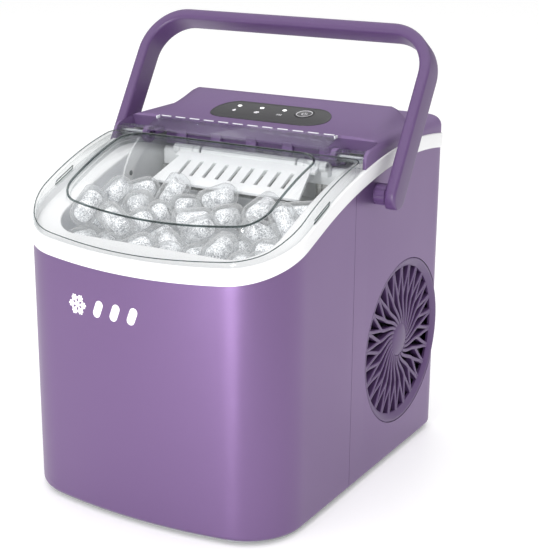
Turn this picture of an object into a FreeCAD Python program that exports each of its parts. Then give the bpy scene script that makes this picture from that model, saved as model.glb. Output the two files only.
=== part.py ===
import FreeCAD, Part

import math
import os

# Countertop bullet ice maker, millimetres. +X right, -Y front, +Z up.
# Origin: on the table, under the middle of the body. Every piece is one node.

os.makedirs("parts", exist_ok=True)

# ---- driving dimensions: body shell ----
body_width = 222.0
body_depth = 289.0
foot_height = 3.0
foot_radius = 9.0
foot_inset = 32.0
wall = 2.5
front_bulge = 15.7
front_corner_radius = 46.0
rear_corner_radius = 18.6
bottom_round = 4.0

# ---- driving dimensions: rim line (lower edge of the white band, seen from the side) ----
front_rim_height = 189.5
hinge_rim_height = 239.2
bend_rim_height = 222.0
bend_length = 64.0
rear_crest_rise = 7.0
bend_bow = 1.4
band_height = 11.5
band_proud = 1.5
flange_rise = 6.0
flange_thickness = 2.5

# ---- driving dimensions: lid and its hinge ----
cover_depth = 141.5
hinge_above_rim = 14.8
hinge_pin_radius = 2.5
hinge_fit = 0.06
knuckle_radius = 6.5
nose_radius = 8.0
knuckle_inner_x = 85.5
knuckle_length = 22.0
lug_width = 4.6
side_gap = 0.5
lid_wall = 2.2
lid_gap = 0.4
lid_rise_front = 1.5
lid_rise_mid = 16.0
lid_rise_back = 11.2
flap_half_width = 79.0
flap_reach = 10.0
flap_top_rise = 14.0
trough_clearance = 1.0

# ---- driving dimensions: top cover and control panel ----
shoulder_rise = 15.5
shoulder_round = 8.0
hump_half_width = 97.0
hump_front_rise = 15.5
hump_mid_rise = 19.0
hump_crest_rise = 30.2
hump_crest_behind = 83.6
hump_back_run = 14.0
cover_root = 40.0
hump_round = 7.0
panel_half_length = 52.0
panel_width = 36.0
panel_back = 47.0
button_back = 54.0
light_back = 57.0
panel_tilt = 11.0
panel_proud = 0.5
panel_thickness = 1.6
board_drop = 8.8
board_thick = 1.6
button_radius = 7.5
button_thick = 3.2
button_stand = 0.9
button_gap = 0.35
button_stem = 2.8
button_x = 27.0
light_radius = 2.0
light_xs = (-33.0, -12.5, 8.0)

# ---- driving dimensions: air slots, inlet and drain ----
air_slot_height = 4.0
intake_rows = 12
intake_low = 45.0
intake_pitch = 9.0
intake_half_length = 42.0
rear_rows = 6
rear_low = 120.0
rear_pitch = 10.0
rear_half_length = 45.0
inlet_x = 62.0
inlet_z = 30.0
inlet_half_width = 13.0
inlet_half_height = 9.0
inlet_depth = 20.0
socket_half_width = 9.5
socket_half_height = 5.5
socket_depth = 14.0
drain_ahead_of_seam = 24.0
drain_above_floor = 6.0
drain_radius = 6.0
drain_bore = 3.5

# ---- driving dimensions: handle ----
pivot_behind_hinge = 13.0
pivot_below_rim = 11.5
handle_reach = 131.0
handle_thick = 9.0
handle_wide = 21.0
handle_corner = 38.0
handle_gap = 9.5
handle_lean = 32.0
handle_pin_radius = 4.0
handle_fit = 0.05
pin_cover = 2.0
hub_radius = 8.0
hub_clearance = 0.5

# ---- driving dimensions: tank, basket and ice making ----
tank_margin_side = 21.0
tank_margin_front = 24.5
tank_wall = 2.0
tank_corner = 28.0
tank_floor = 42.0
foam_thick = 10.0
tank_axle_fit = 0.06
bay_floor = 165.0
bay_depth = 70.0
reservoir_ahead_of_hinge = 8.0
basket_gap = 4.0
basket_wall = 1.8
basket_floor = 92.0
basket_drop = 6.0
basket_corner = 22.0
basket_slots = 11
basket_slot_pitch = 14.0
basket_slot_width = 5.0
basket_slot_end = 16.0
rail_width = 9.0
rail_height = 8.0
tray_radius = 21.0
tray_wall = 1.8
tray_behind_hinge = 42.0
tray_below_rim = 27.0
tray_end_gap = 7.0
tray_arc_front = 78.0
tray_arc_back = 66.0
axle_radius = 3.0
finger_radius = 4.5
finger_clearance = 0.7
finger_row_gap = 18.0
finger_end_margin = 9.0
evap_above_tray = 13.5
evap_tube = 4.5
cap_top_room = 5.5
cap_front_reach = 10.0
cap_side_gap = 6.0
cap_wall = 2.5
crown_rise = 2.5
fingers_front = 5
fingers_back = 4
shovel_behind_hinge = 16.0
shovel_above_rim = 2.5
shovel_length = 43.0
shovel_half_width = 65.0
shovel_slope = 25.0
shovel_thick = 2.4
shovel_pin_radius = 2.0
crown_half = 42.0
eye_inner_x = 50.0
eye_length = 12.0
eye_radius = 4.0
slot_count = 9
slot_pitch = 11.5
slot_width = 3.2
sensor_radius = 2.0
sensor_thick = 1.5
sensor_ahead_of_hinge = 17.0
sensor_below_rim = 14.0
probe_radius = 2.0
probe_length = 16.0
probe_half_gap = 12.0
probe_from_back = 12.0
pump_x = -48.0
pump_half_width = 16.0
pump_length = 30.0
pump_height = 34.0
pump_outlet = 18.0

# ---- driving dimensions: machine room ----
vent_from_rear = 74.5
seam_ahead_of_vent = 22.0
vent_height = 97.0
vent_ring_radius = 66.5
vent_ring_width = 6.8
vent_hub_radius = 14.0
vent_ribs = 30
vent_depth = 5.0
fan_tip_gap = 9.7
fan_blades = 7
fan_thick = 16.0
fan_hub_radius = 14.0
fan_pitch = 48.0
rib_width = 1.8
rib_bow = 5.0
rib_depth = 3.4
shroud_wall = 7.0
shroud_gap = 3.0
motor_radius = 18.0
motor_length = 26.0
compressor_radius = 38.0
compressor_height = 108.0
compressor_from_rear = 58.0
compressor_x = -54.0
grommet_height = 8.0
grommet_x = 36.0
grommet_y = 26.0
condenser_thick = 20.0
condenser_height = 116.0
condenser_length = 104.0
fin_count = 24
fin_thick = 0.8
base_thick = 3.0
tube_radius = 2.8
board_low = 180.0
board_high = 232.0
board_left = -60.0
board_right = 30.0
board_stand = 22.4

# ---- places worked out from the driving dimensions ----
half_w = body_width / 2.0
front_y = -body_depth / 2.0
rear_y = body_depth / 2.0
floor_z = foot_height
hinge_y = rear_y - cover_depth
hinge_z = hinge_rim_height + hinge_above_rim
vent_y = rear_y - vent_from_rear
vent_radius = vent_ring_radius - vent_ring_width
fan_radius = vent_radius - fan_tip_gap
seam_y = vent_y - vent_ring_radius - seam_ahead_of_vent
pivot_y = hinge_y + pivot_behind_hinge
pivot_z = hinge_rim_height - pivot_below_rim
tank_half = half_w - tank_margin_side
tank_front = front_y + tank_margin_front
reservoir_back = hinge_y - reservoir_ahead_of_hinge
bay_back = hinge_y + bay_depth
tray_y = hinge_y + tray_behind_hinge
tray_z = hinge_rim_height - tray_below_rim
tray_half = tank_half - tray_end_gap
evap_low = tray_z + evap_above_tray
evap_high = evap_low + 2 * evap_tube
cap_top = evap_high + cap_top_room
cap_front = tray_y - finger_row_gap / 2.0 - cap_front_reach
shovel_y = hinge_y + shovel_behind_hinge
shovel_z = hinge_rim_height + shovel_above_rim
pump_back = reservoir_back - 4.0
drain_y = seam_y - drain_ahead_of_seam
drain_z = tank_floor + drain_above_floor
far = 400.0
high = 600.0


def vec(x, y, z):
    return FreeCAD.Vector(x, y, z)


def box(x0, x1, y0, y1, z0, z1):
    return Part.makeBox(x1 - x0, y1 - y0, z1 - z0, vec(x0, y0, z0))


def rod_x(radius, x0, x1, y, z):
    return Part.makeCylinder(radius, x1 - x0, vec(x0, y, z), vec(1, 0, 0))


def rod_z(radius, z0, z1, x, y):
    return Part.makeCylinder(radius, z1 - z0, vec(x, y, z0), vec(0, 0, 1))


def join(shapes):
    if len(shapes) == 1:
        return shapes[0]
    return shapes[0].fuse(list(shapes[1:])).removeSplitter()


def group(shapes):
    return Part.makeCompound(list(shapes))


def mirrored(shape):
    return shape.mirror(vec(0, 0, 0), vec(1, 0, 0))


def both_sides(shape):
    return [shape, mirrored(shape)]


def save(name, shape):
    shape.exportStep("parts/" + name + ".step")


def upright_edges(solid):
    found = []
    for edge in solid.Edges:
        first = edge.Vertexes[0].Point
        last = edge.Vertexes[-1].Point
        if abs(first.x - last.x) < 0.001 and abs(first.y - last.y) < 0.001:
            found.append(edge)
    return found


def rounded_block(x0, x1, y0, y1, z0, z1, radius):
    solid = box(x0, x1, y0, y1, z0, z1)
    return solid.makeFillet(radius, upright_edges(solid))


def body_prism(inset, z0, z1):
    """Plan of the body, moved in by inset: bulged front, two corner sizes."""
    half = half_w - inset
    bulge_radius = (half_w ** 2 + front_bulge ** 2) / (2.0 * front_bulge)
    bulge_centre = front_y + bulge_radius
    corner_y = bulge_centre - math.sqrt((bulge_radius - inset) ** 2 - half ** 2)
    back = rear_y - inset
    left_front = vec(-half, corner_y, z0)
    right_front = vec(half, corner_y, z0)
    right_back = vec(half, back, z0)
    left_back = vec(-half, back, z0)
    edges = [
        Part.Arc(left_front, vec(0, front_y + inset, z0), right_front).toShape(),
        Part.makeLine(right_front, right_back),
        Part.makeLine(right_back, left_back),
        Part.makeLine(left_back, left_front),
    ]
    solid = Part.Face(Part.Wire(edges)).extrude(vec(0, 0, z1 - z0))
    fronts = [e for e in upright_edges(solid) if e.Vertexes[0].Point.y < 0]
    solid = solid.makeFillet(front_corner_radius - inset, fronts)
    backs = [e for e in upright_edges(solid) if e.Vertexes[0].Point.y > back - 0.01]
    return solid.makeFillet(rear_corner_radius - inset, backs)


def rim_z(y):
    """Height of the rim line on its straight front slope."""
    bend_y = hinge_y - bend_length
    return front_rim_height + (y - front_y) * (bend_rim_height - front_rim_height) / (bend_y - front_y)


def side_face(edges):
    return Part.Face(Part.Wire(edges)).extrude(vec(2 * far, 0, 0))


def below_rim(rise):
    """Everything under the rim line raised by rise, as one solid."""
    x = -far
    bend_y = hinge_y - bend_length
    crest_y = (hinge_y + rear_y) / 2.0
    start = vec(x, front_y - far, rim_z(front_y - far) + rise)
    bend = vec(x, bend_y, bend_rim_height + rise)
    mid_z = (bend_rim_height + hinge_rim_height) / 2.0 + bend_bow
    mid = vec(x, hinge_y - bend_length / 2.0, mid_z + rise)
    hinge = vec(x, hinge_y, hinge_rim_height + rise)
    crest = vec(x, crest_y, hinge_rim_height + rear_crest_rise + rise)
    rear = vec(x, rear_y, hinge_rim_height + rise)
    end = vec(x, rear_y + far, hinge_rim_height + rise)
    low_end = vec(x, rear_y + far, -far)
    low_start = vec(x, front_y - far, -far)
    return side_face([
        Part.makeLine(start, bend),
        Part.Arc(bend, mid, hinge).toShape(),
        Part.Arc(hinge, crest, rear).toShape(),
        Part.makeLine(rear, end),
        Part.makeLine(end, low_end),
        Part.makeLine(low_end, low_start),
        Part.makeLine(low_start, start),
    ])


def between_rims(low, high_rise):
    return below_rim(high_rise).cut(below_rim(low))


def half_space_y(y, behind):
    if behind:
        return box(-far, far, y, far, -far, high)
    return box(-far, far, -far, y, -far, high)


# ---- housing ----
def housing_shell():
    outer = body_prism(0.0, floor_z, high)
    low_edges = [e for e in outer.Edges if e.BoundBox.ZMax < floor_z + 0.001]
    outer = outer.makeFillet(bottom_round, low_edges)
    inner = body_prism(wall, floor_z - 1.0, high)
    return outer.cut(inner).common(below_rim(0.0))


def intake_slots():
    slots = []
    for row in range(intake_rows):
        z = intake_low + intake_pitch * row
        slots.append(box(-half_w - 1, -half_w + wall + 1, vent_y - intake_half_length,
                         vent_y + intake_half_length, z, z + air_slot_height))
    return slots


def rear_slots():
    slots = []
    for row in range(rear_rows):
        z = rear_low + rear_pitch * row
        slots.append(box(-rear_half_length, rear_half_length, rear_y - wall - 1, rear_y + 1,
                         z, z + air_slot_height))
    return slots


def front_housing():
    return housing_shell().cut(half_space_y(seam_y, True))


def rear_housing():
    shell = housing_shell().common(half_space_y(seam_y, True))
    cuts = [rod_x(vent_ring_radius, half_w - rear_corner_radius, half_w + 1, vent_y, vent_height)]
    for side in (-1, 1):
        x0 = side * half_w - wall - 1
        cuts.append(rod_x(handle_pin_radius, x0, x0 + 2 * wall + 2, pivot_y, pivot_z))
    cuts += intake_slots()
    cuts += rear_slots()
    cuts.append(inlet_block(0.0, rear_y - wall - 1, rear_y + 1))
    return shell.cut(cuts)


def inlet_block(grow, y0, y1):
    return box(inlet_x - inlet_half_width - grow, inlet_x + inlet_half_width + grow, y0, y1,
               inlet_z - inlet_half_height - grow, inlet_z + inlet_half_height + grow)


def drain_hole():
    return rod_x(drain_radius, -half_w - 1, -half_w + wall + 1, drain_y, drain_z)


def trim_ring():
    """White band and the sloping flange round the ice opening, one moulding."""
    band = body_prism(-band_proud, 100.0, high).cut(body_prism(wall, 99.0, high))
    band = band.common(between_rims(0.0, band_height))
    flange = body_prism(wall, 100.0, high).common(between_rims(flange_rise - flange_thickness, flange_rise))
    flange = flange.cut(half_space_y(bay_back + tank_wall + 2.0, True))
    opening = rounded_block(-tank_half, tank_half, tank_front, bay_back, 100.0, high, tank_corner)
    bay = box(-tank_half, tank_half, 0.0, bay_back, 100.0, high)
    return band.fuse(flange.cut([opening, bay]))


def base_plate():
    plate = body_prism(wall, floor_z, floor_z + base_thick)
    return plate.cut(foot_screws())


def foot_places():
    x = half_w - foot_inset
    return [(sx * x, y) for sx in (-1, 1) for y in (front_y + foot_inset + 14, rear_y - foot_inset)]


def foot_screws():
    return [rod_z(2.0, floor_z - 1.8, floor_z + base_thick + 4.0, x, y) for x, y in foot_places()]


def rubber_feet():
    feet = [rod_z(foot_radius, 0.0, floor_z, x, y) for x, y in foot_places()]
    return group([foot.cut(foot_screws()) for foot in feet])


# ---- top cover ----
def hump_profile(drop, shrink):
    """Side outline of the raised back of the cover, moved in for the inside wall."""
    x = -hump_half_width + shrink
    y0 = hinge_y
    front = vec(x, y0 + shrink, hinge_rim_height + band_height - cover_root)
    lip = vec(x, y0 + shrink, hinge_rim_height + band_height + hump_front_rise - drop)
    mid_y = y0 + panel_back
    mid = vec(x, mid_y, hinge_rim_height + band_height + hump_mid_rise - drop)
    crest_y = y0 + hump_crest_behind
    crest = vec(x, crest_y, hinge_rim_height + band_height + hump_crest_rise - drop)
    back = vec(x, crest_y + hump_back_run - shrink, hinge_rim_height + band_height + shoulder_rise - drop)
    low = vec(x, crest_y + hump_back_run - shrink, hinge_rim_height + band_height - cover_root)
    return Part.Face(Part.Wire([
        Part.makeLine(front, lip),
        Part.Arc(lip, mid, crest).toShape(),
        Part.makeLine(crest, back),
        Part.makeLine(back, low),
        Part.makeLine(low, front),
    ]))


def hump(drop, shrink):
    solid = hump_profile(drop, shrink).extrude(vec(2 * (hump_half_width - shrink), 0, 0))
    crest_z = hinge_rim_height + band_height + hump_crest_rise - drop
    crest = [e for e in solid.Edges if e.BoundBox.ZMin > crest_z - 0.01]
    return solid.makeFillet(hump_round, crest)


def cover_shoulder(inset, drop):
    z1 = hinge_rim_height + band_height + shoulder_rise - drop
    block = body_prism(inset, hinge_rim_height + band_height - cover_root, z1)
    top_edges = [e for e in block.Edges if e.BoundBox.ZMin > z1 - 0.001]
    block = block.makeFillet(shoulder_round - drop, top_edges)
    return block.common(half_space_y(hinge_y - knuckle_radius, True))


def panel_stadium(margin, z0, z1):
    y = hinge_y + panel_back
    half = panel_half_length + margin
    radius = panel_width / 2.0 + margin
    return rounded_block(-half, half, y - radius, y + radius, z0, z1, radius - 0.05)


def button_frame():
    """Centre and outward direction of the on/off button on the panel."""
    y = hinge_y + button_back
    x = button_x
    probe = rod_z(0.05, hinge_z, high, x, y).common(hump(0.0, 0.0))
    tilt = math.radians(panel_tilt)
    return vec(x, y, probe.BoundBox.ZMax), vec(0, -math.sin(tilt), math.cos(tilt))


def button_rod(radius, low, top):
    centre, out = button_frame()
    return Part.makeCylinder(radius, top - low, centre + out * low, out)


def light_rods(radius, low, top):
    rods = []
    y = hinge_y + light_back
    for x in light_xs:
        probe = rod_z(0.05, hinge_z, high, x, y).common(hump(0.0, 0.0))
        rods.append(rod_z(radius, probe.BoundBox.ZMax + low, probe.BoundBox.ZMax + top, x, y))
    return rods


def panel_block():
    body = hump(-panel_proud, 0.0).cut(hump(panel_thickness - panel_proud, 0.0))
    return body.common(panel_stadium(0.0, hinge_z, high))


def top_cover():
    outer = join([cover_shoulder(0.0, 0.0), hump(0.0, 0.0)])
    trough = rod_x(flap_reach_radius() + trough_clearance, -half_w + wall, half_w - wall, hinge_y, hinge_z)
    ahead = box(-far, far, -far, hinge_y + 9.5, hinge_z + knuckle_radius - 1.5, high)
    front_block = box(-half_w + wall, half_w - wall, -far, hinge_y, 0.0, high)
    outer = outer.cut([trough, ahead, front_block])
    nose = rod_x(nose_radius, half_w - wall, half_w, hinge_y, hinge_z)
    keep_nose = box(-far, far, hinge_y, far, 0.0, high)
    sides = [outer.common(keep_nose)] + both_sides(nose)
    inner = join([cover_shoulder(wall, wall), hump(wall, wall)])
    trough_wall = rod_x(flap_reach_radius() + trough_clearance + wall, -half_w, half_w, hinge_y, hinge_z)
    inner = inner.cut(trough_wall).common(half_space_y(hinge_y + 3.0, True))
    shell = join(sides).cut(inner)
    shell = shell.cut(below_rim(band_height))
    shell = join([shell] + hinge_lugs())
    pins = [rod_x(hinge_pin_radius, -half_w + 0.6, half_w - 0.6, hinge_y, hinge_z)]
    panel_hole = panel_block()
    holes = [panel_hole, button_rod(button_radius + button_gap, -12.0, 6.0)]
    holes += light_rods(light_radius, -9.0, 6.0)
    return shell.cut(pins + holes)


def flap_reach_radius():
    return math.sqrt(flap_reach ** 2 + flap_top_rise ** 2)


def hinge_lugs():
    x0 = knuckle_inner_x - side_gap - lug_width
    eye = rod_x(knuckle_radius, x0, x0 + lug_width, hinge_y, hinge_z)
    back = hinge_y + flap_reach_radius() + trough_clearance + 1.0
    web = box(x0, x0 + lug_width, hinge_y, back, hinge_z - 1.5, hinge_z + 2.5)
    return both_sides(eye.fuse(web))


def lid_hinge_pin():
    x0 = knuckle_inner_x - side_gap - lug_width
    return rod_x(hinge_pin_radius, x0, half_w - 0.6, hinge_y, hinge_z)


def control_panel():
    cuts = [button_rod(button_radius + button_gap, -12.0, 6.0)]
    cuts += light_rods(light_radius, -9.0, 6.0)
    return panel_block().cut(cuts)


def power_button():
    cap = button_rod(button_radius, -button_thick, button_stand)
    stem = button_rod(2.0, -button_thick - button_stem, -button_thick)
    return cap.fuse(stem)


def status_lights():
    return group(light_rods(light_radius, -4.0, panel_proud))


def display_board():
    centre, out = button_frame()
    length = 2 * panel_half_length - 6.0
    width = panel_width - 8.0
    slab = Part.makeBox(length, width, board_thick)
    slab.translate(vec(-length / 2.0, -width / 2.0, -board_drop - board_thick))
    switch = box(button_x - 3, button_x + 3, -3, 3, -board_drop, -board_drop + 1.5)
    slab = slab.fuse(switch)
    slab.rotate(vec(0, 0, 0), vec(1, 0, 0), panel_tilt)
    slab.translate(vec(0, centre.y, centre.z))
    return slab


# ---- lid ----
def lid_profile(drop, back_y, back_z):
    x = -far
    front = vec(x, front_y - band_proud, front_rim_height + band_height + lid_rise_front - drop)
    mid_y = (front_y + hinge_y) / 2.0 - 8.0
    mid = vec(x, mid_y, rim_z(mid_y) + band_height + lid_rise_mid - drop)
    back = vec(x, hinge_y - flap_reach, hinge_rim_height + band_height + lid_rise_back - drop)
    flap = vec(x, back_y, back_z - drop)
    low_back = vec(x, back_y, 0.0)
    low_front = vec(x, front_y - band_proud, 0.0)
    return side_face([
        Part.Arc(front, mid, back).toShape(),
        Part.makeLine(back, flap),
        Part.makeLine(flap, low_back),
        Part.makeLine(low_back, low_front),
        Part.makeLine(low_front, front),
    ])


def lid():
    """Clear moulded lid: domed skin, skirt that stands over the rim, flap and knuckles."""
    back_y = hinge_y + flap_reach
    back_z = hinge_z + flap_top_rise
    skin = lid_profile(0.0, back_y, back_z)
    hollow = lid_profile(lid_wall, back_y + 5.0, back_z + 1.0)
    outer = body_prism(0.5, 100.0, high).common(skin).cut(below_rim(band_height + lid_gap))
    inner = body_prism(0.5 + lid_wall, 100.0, high).common(hollow)
    shell = outer.cut(inner)
    skirt_back = hinge_y - nose_radius - 1.0
    ear_zone = box(flap_half_width, far, skirt_back, far, 0.0, high)
    shell = shell.cut([ear_zone, mirrored(ear_zone)])
    shell = shell.cut(box(-far, far, hinge_y - flap_reach, far, 0.0, hinge_z + 3.5))
    x1 = knuckle_inner_x + knuckle_length
    knuckle = rod_x(knuckle_radius, knuckle_inner_x, x1, hinge_y, hinge_z)
    arm = box(knuckle_inner_x, x1, skirt_back - 4.0, hinge_y, hinge_z + 2.0, hinge_z + knuckle_radius)
    arm = arm.common(skin)
    bore = rod_x(hinge_pin_radius + hinge_fit, -far, far, hinge_y, hinge_z)
    shell = join([shell] + both_sides(knuckle) + both_sides(arm))
    return shell.cut([bore] + both_sides(grip_notch()))


def grip_notch():
    """Finger notch in the lower edge of the skirt, one each side."""
    y0 = hinge_y - 88.0
    return box(half_w - 6.0, half_w + 2.0, y0, y0 + 26.0, rim_z(y0) + band_height - 8.0,
               rim_z(y0) + band_height + 14.0).common(between_rims(band_height, band_height + 3.4))


# ---- handle ----
def handle_path_solid(outer_x, reach, lean):
    """Flat U outline in the plane of the arms, thickened, then leaned back about the pivot."""
    inner_x = outer_x - handle_thick
    end = handle_wide / 2.0
    outer = box(-outer_x, outer_x, -end, end, 0.0, reach)
    tops = [e for e in outer.Edges if abs(e.Vertexes[0].Point.z - reach) < 0.01
            and abs(e.Vertexes[-1].Point.z - reach) < 0.01 and abs(e.BoundBox.YLength - 2 * end) < 0.01]
    outer = outer.makeFillet(handle_corner, tops)
    inner = box(-inner_x, inner_x, -end - 1, end + 1, -end - 1, reach - handle_thick)
    tops = [e for e in inner.Edges if abs(e.Vertexes[0].Point.z - reach + handle_thick) < 0.01
            and abs(e.Vertexes[-1].Point.z - reach + handle_thick) < 0.01 and e.BoundBox.XLength < 0.01]
    inner = inner.makeFillet(handle_corner - handle_thick, tops)
    ends = [rod_x(end, inner_x, outer_x, 0.0, 0.0), rod_x(end, -outer_x, -inner_x, 0.0, 0.0)]
    bail = join([outer.cut(inner)] + ends)
    bail.rotate(vec(0, 0, 0), vec(1, 0, 0), -lean)
    bail.translate(vec(0, pivot_y, pivot_z))
    return bail


arm_inner_x = half_w + handle_gap
arm_outer_x = arm_inner_x + handle_thick


def carry_handle():
    blind = arm_outer_x - pin_cover
    bore = rod_x(handle_pin_radius + handle_fit, -blind, blind, pivot_y, pivot_z)
    return handle_path_solid(arm_outer_x, handle_reach, handle_lean).cut(bore)


def handle_hub():
    """Toothed spacer between the body side and the arm."""
    x1 = arm_inner_x - hub_clearance
    hub = rod_x(hub_radius, half_w, x1, pivot_y, pivot_z)
    cuts = [rod_x(handle_pin_radius, 0, far, pivot_y, pivot_z)]
    for step in range(8):
        angle = math.radians(45.0 * step)
        cuts.append(rod_x(1.6, half_w + 2.0, far, pivot_y + hub_radius * math.cos(angle),
                          pivot_z + hub_radius * math.sin(angle)))
    return hub.cut(cuts)


def handle_pin():
    """Shouldered pivot pin: shank through the arm, washer head inside the shell."""
    shank = rod_x(handle_pin_radius, half_w - wall, arm_outer_x - pin_cover - 0.5, pivot_y, pivot_z)
    head = rod_x(handle_pin_radius + 3.5, half_w - wall - 2.0, half_w - wall, pivot_y, pivot_z)
    return shank.fuse(head)


# ---- tank, basket, ice making ----
def tank_space(grow, low, bay_low, top):
    reach = tank_half + grow
    front = rounded_block(-reach, reach, tank_front - grow, reservoir_back + grow + 30.0, low, top,
                          tank_corner + grow)
    front = front.cut(half_space_y(reservoir_back + grow, True))
    bay = box(-reach, reach, reservoir_back - 1.0, bay_back + grow, bay_low, top)
    return front.fuse(bay)


def inner_tank():
    outer = tank_space(tank_wall, tank_floor - tank_wall, bay_floor - tank_wall, high)
    inner = tank_space(0.0, tank_floor, bay_floor, high + 1.0)
    shell = outer.cut(inner).common(below_rim(flange_rise - flange_thickness))
    shell = join([shell] + basket_ledges())
    drain = rod_x(drain_bore, -tank_half - 5.0, -tank_half + 1.0, drain_y, drain_z)
    axle = rod_x(axle_radius + tank_axle_fit, -tank_half - 5.0, tank_half + 5.0, tray_y, tray_z)
    return shell.cut([drain, axle, pump_hose()])


def foam_jacket():
    gap = foam_thick
    outer = tank_space(tank_wall + gap, tank_floor - tank_wall - gap, bay_floor - tank_wall - gap, high)
    outer = outer.common(body_prism(wall + 1.0, 0.0, high))
    inner = tank_space(tank_wall, tank_floor - tank_wall, bay_floor - tank_wall, high + 1.0)
    shell = outer.cut(inner).common(below_rim(flange_rise - flange_thickness - 4.0))
    shell = shell.cut(half_space_y(reservoir_back + tank_wall + foam_thick, True))
    drain = rod_x(drain_radius, -far, -tank_half, drain_y, drain_z)
    return shell.cut([drain, pump_hose()])


def basket_top():
    return front_rim_height + flange_rise - flange_thickness - basket_drop + 4.0


def ice_basket():
    x = tank_half - basket_gap
    y0 = tank_front + basket_gap
    y1 = reservoir_back - basket_gap
    top = basket_top()
    outer = rounded_block(-x, x, y0, y1, basket_floor, top, basket_corner)
    w = basket_wall
    inner = rounded_block(-x + w, x - w, y0 + w, y1 - w, basket_floor + w, top + 1.0, basket_corner - w)
    slots = []
    for column in range(basket_slots):
        x0 = (column - (basket_slots - 1) / 2.0) * basket_slot_pitch - basket_slot_width / 2.0
        slots.append(box(x0, x0 + basket_slot_width, y0 + basket_slot_end, y1 - basket_slot_end,
                         basket_floor - 1.0, basket_floor + w + 1.0))
    return outer.cut(inner).cut(slots)


def basket_ledges():
    """Rails moulded inside the tank carry the basket."""
    x1 = tank_half
    rail = box(x1 - rail_width, x1, tank_front + tank_corner, reservoir_back - 10.0,
               basket_floor - rail_height, basket_floor)
    return both_sides(rail)



def tray_sector(radius, x0, x1):
    """Part of a round trough, open at the top, arcs measured from straight down."""
    full = rod_x(radius, x0, x1, tray_y, tray_z)
    start = math.radians(-90.0 - tray_arc_front)
    end = math.radians(-90.0 + tray_arc_back)
    reach = 3.0 * radius
    mid = vec(x0, tray_y, tray_z - reach)
    first = vec(x0, tray_y + reach * math.cos(start), tray_z + reach * math.sin(start))
    last = vec(x0, tray_y + reach * math.cos(end), tray_z + reach * math.sin(end))
    centre = vec(x0, tray_y, tray_z)
    wedge = Part.Face(Part.makePolygon([centre, first, mid, last, centre])).extrude(vec(x1 - x0, 0, 0))
    return full.common(wedge)


def water_tray():
    outer = tray_sector(tray_radius + tray_wall, -tray_half, tray_half)
    inner = rod_x(tray_radius, -tray_half + tray_wall, tray_half - tray_wall, tray_y, tray_z)
    plates = [rod_x(axle_radius + 4.0, -tray_half, -tray_half + tray_wall, tray_y, tray_z),
              rod_x(axle_radius + 4.0, tray_half - tray_wall, tray_half, tray_y, tray_z)]
    bore = rod_x(axle_radius, -far, far, tray_y, tray_z)
    return join([outer.cut(inner)] + plates).cut(bore)


def tray_axles():
    """Two stub axles pressed into the tray ends, running in the tank walls."""
    left = rod_x(axle_radius, -tank_half - tank_wall - 1.0, -tray_half + tray_wall, tray_y, tray_z)
    right = rod_x(axle_radius, tray_half - tray_wall, tank_half + tank_wall + 6.0, tray_y, tray_z)
    return group([left, right])


def tray_motor():
    x0 = tank_half + tank_wall + 0.5
    x1 = half_w - wall - 1.0
    case = box(x0, x1, tray_y - 16.0, tray_y + 16.0, tray_z - 20.0, tray_z + 14.0)
    return case.cut(rod_x(axle_radius + 0.06, x0 - 1.0, x0 + 6.5, tray_y, tray_z))


def finger_xs(count):
    pitch = 2.0 * (tray_half - finger_end_margin) / fingers_front
    return [(index - (count - 1) / 2.0) * pitch for index in range(count)]


def finger_places():
    rows = [(tray_y - finger_row_gap / 2.0, fingers_front), (tray_y + finger_row_gap / 2.0, fingers_back)]
    return [(x, y) for y, count in rows for x in finger_xs(count)]




def finger_length():
    """From the evaporator down to just inside the round of the tray."""
    swing = tray_radius - finger_clearance - finger_radius
    return evap_above_tray + math.sqrt(swing ** 2 - (finger_row_gap / 2.0) ** 2) + finger_radius


def freezing_fingers():
    fingers = []
    tip_z = evap_low - finger_length() + finger_radius
    for x, y in finger_places():
        stem = rod_z(finger_radius, tip_z, evap_low, x, y)
        tip = Part.makeSphere(finger_radius, vec(x, y, tip_z))
        fingers.append(stem.fuse(tip))
    return group(fingers)


def evaporator():
    """Flat U of tube over the two finger rows."""
    z = evap_low + evap_tube
    end = finger_xs(fingers_front)[-1] + 7.0
    y0 = tray_y - finger_row_gap / 2.0
    y1 = tray_y + finger_row_gap / 2.0
    rows = [rod_x(evap_tube, -end, end, y, z) for y in (y0, y1)]
    ring = Part.makeTorus(finger_row_gap / 2.0, evap_tube, vec(end, tray_y, z), vec(0, 0, 1))
    bend = ring.common(box(end, far, -far, far, -far, high))
    pads = [rod_z(finger_radius + 1.0, evap_low, z, x, y) for x, y in finger_places()]
    return join(rows + [bend] + pads)


def evaporator_cover():
    """White insulated cap over the evaporator, held to the back wall of the bay."""
    x = tank_half - cap_side_gap
    low = evap_low + 0.5
    top = cap_top
    y0 = cap_front
    outer = box(-x, x, y0, bay_back, low, top)
    front_edges = [e for e in outer.Edges if e.BoundBox.YMax < y0 + 0.01 and e.BoundBox.ZMin > top - 0.01]
    outer = outer.makeFillet(4.0, front_edges)
    inner = box(-x + cap_wall, x - cap_wall, y0 + 3.0, bay_back - 6.0, low - 1.0, top - cap_wall)
    crown = rounded_block(-crown_half, crown_half, y0 + 1.0, bay_back - 4.0, top - 1.0,
                          top + crown_rise, 4.0)
    return join([outer, crown]).cut(inner)


def shovel_frame(shape):
    """Turn a plate built along -Y from the origin down by the slope and put it on its pins."""
    shape.rotate(vec(0, 0, 0), vec(1, 0, 0), shovel_slope)
    shape.translate(vec(0, shovel_y, shovel_z))
    return shape



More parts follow.
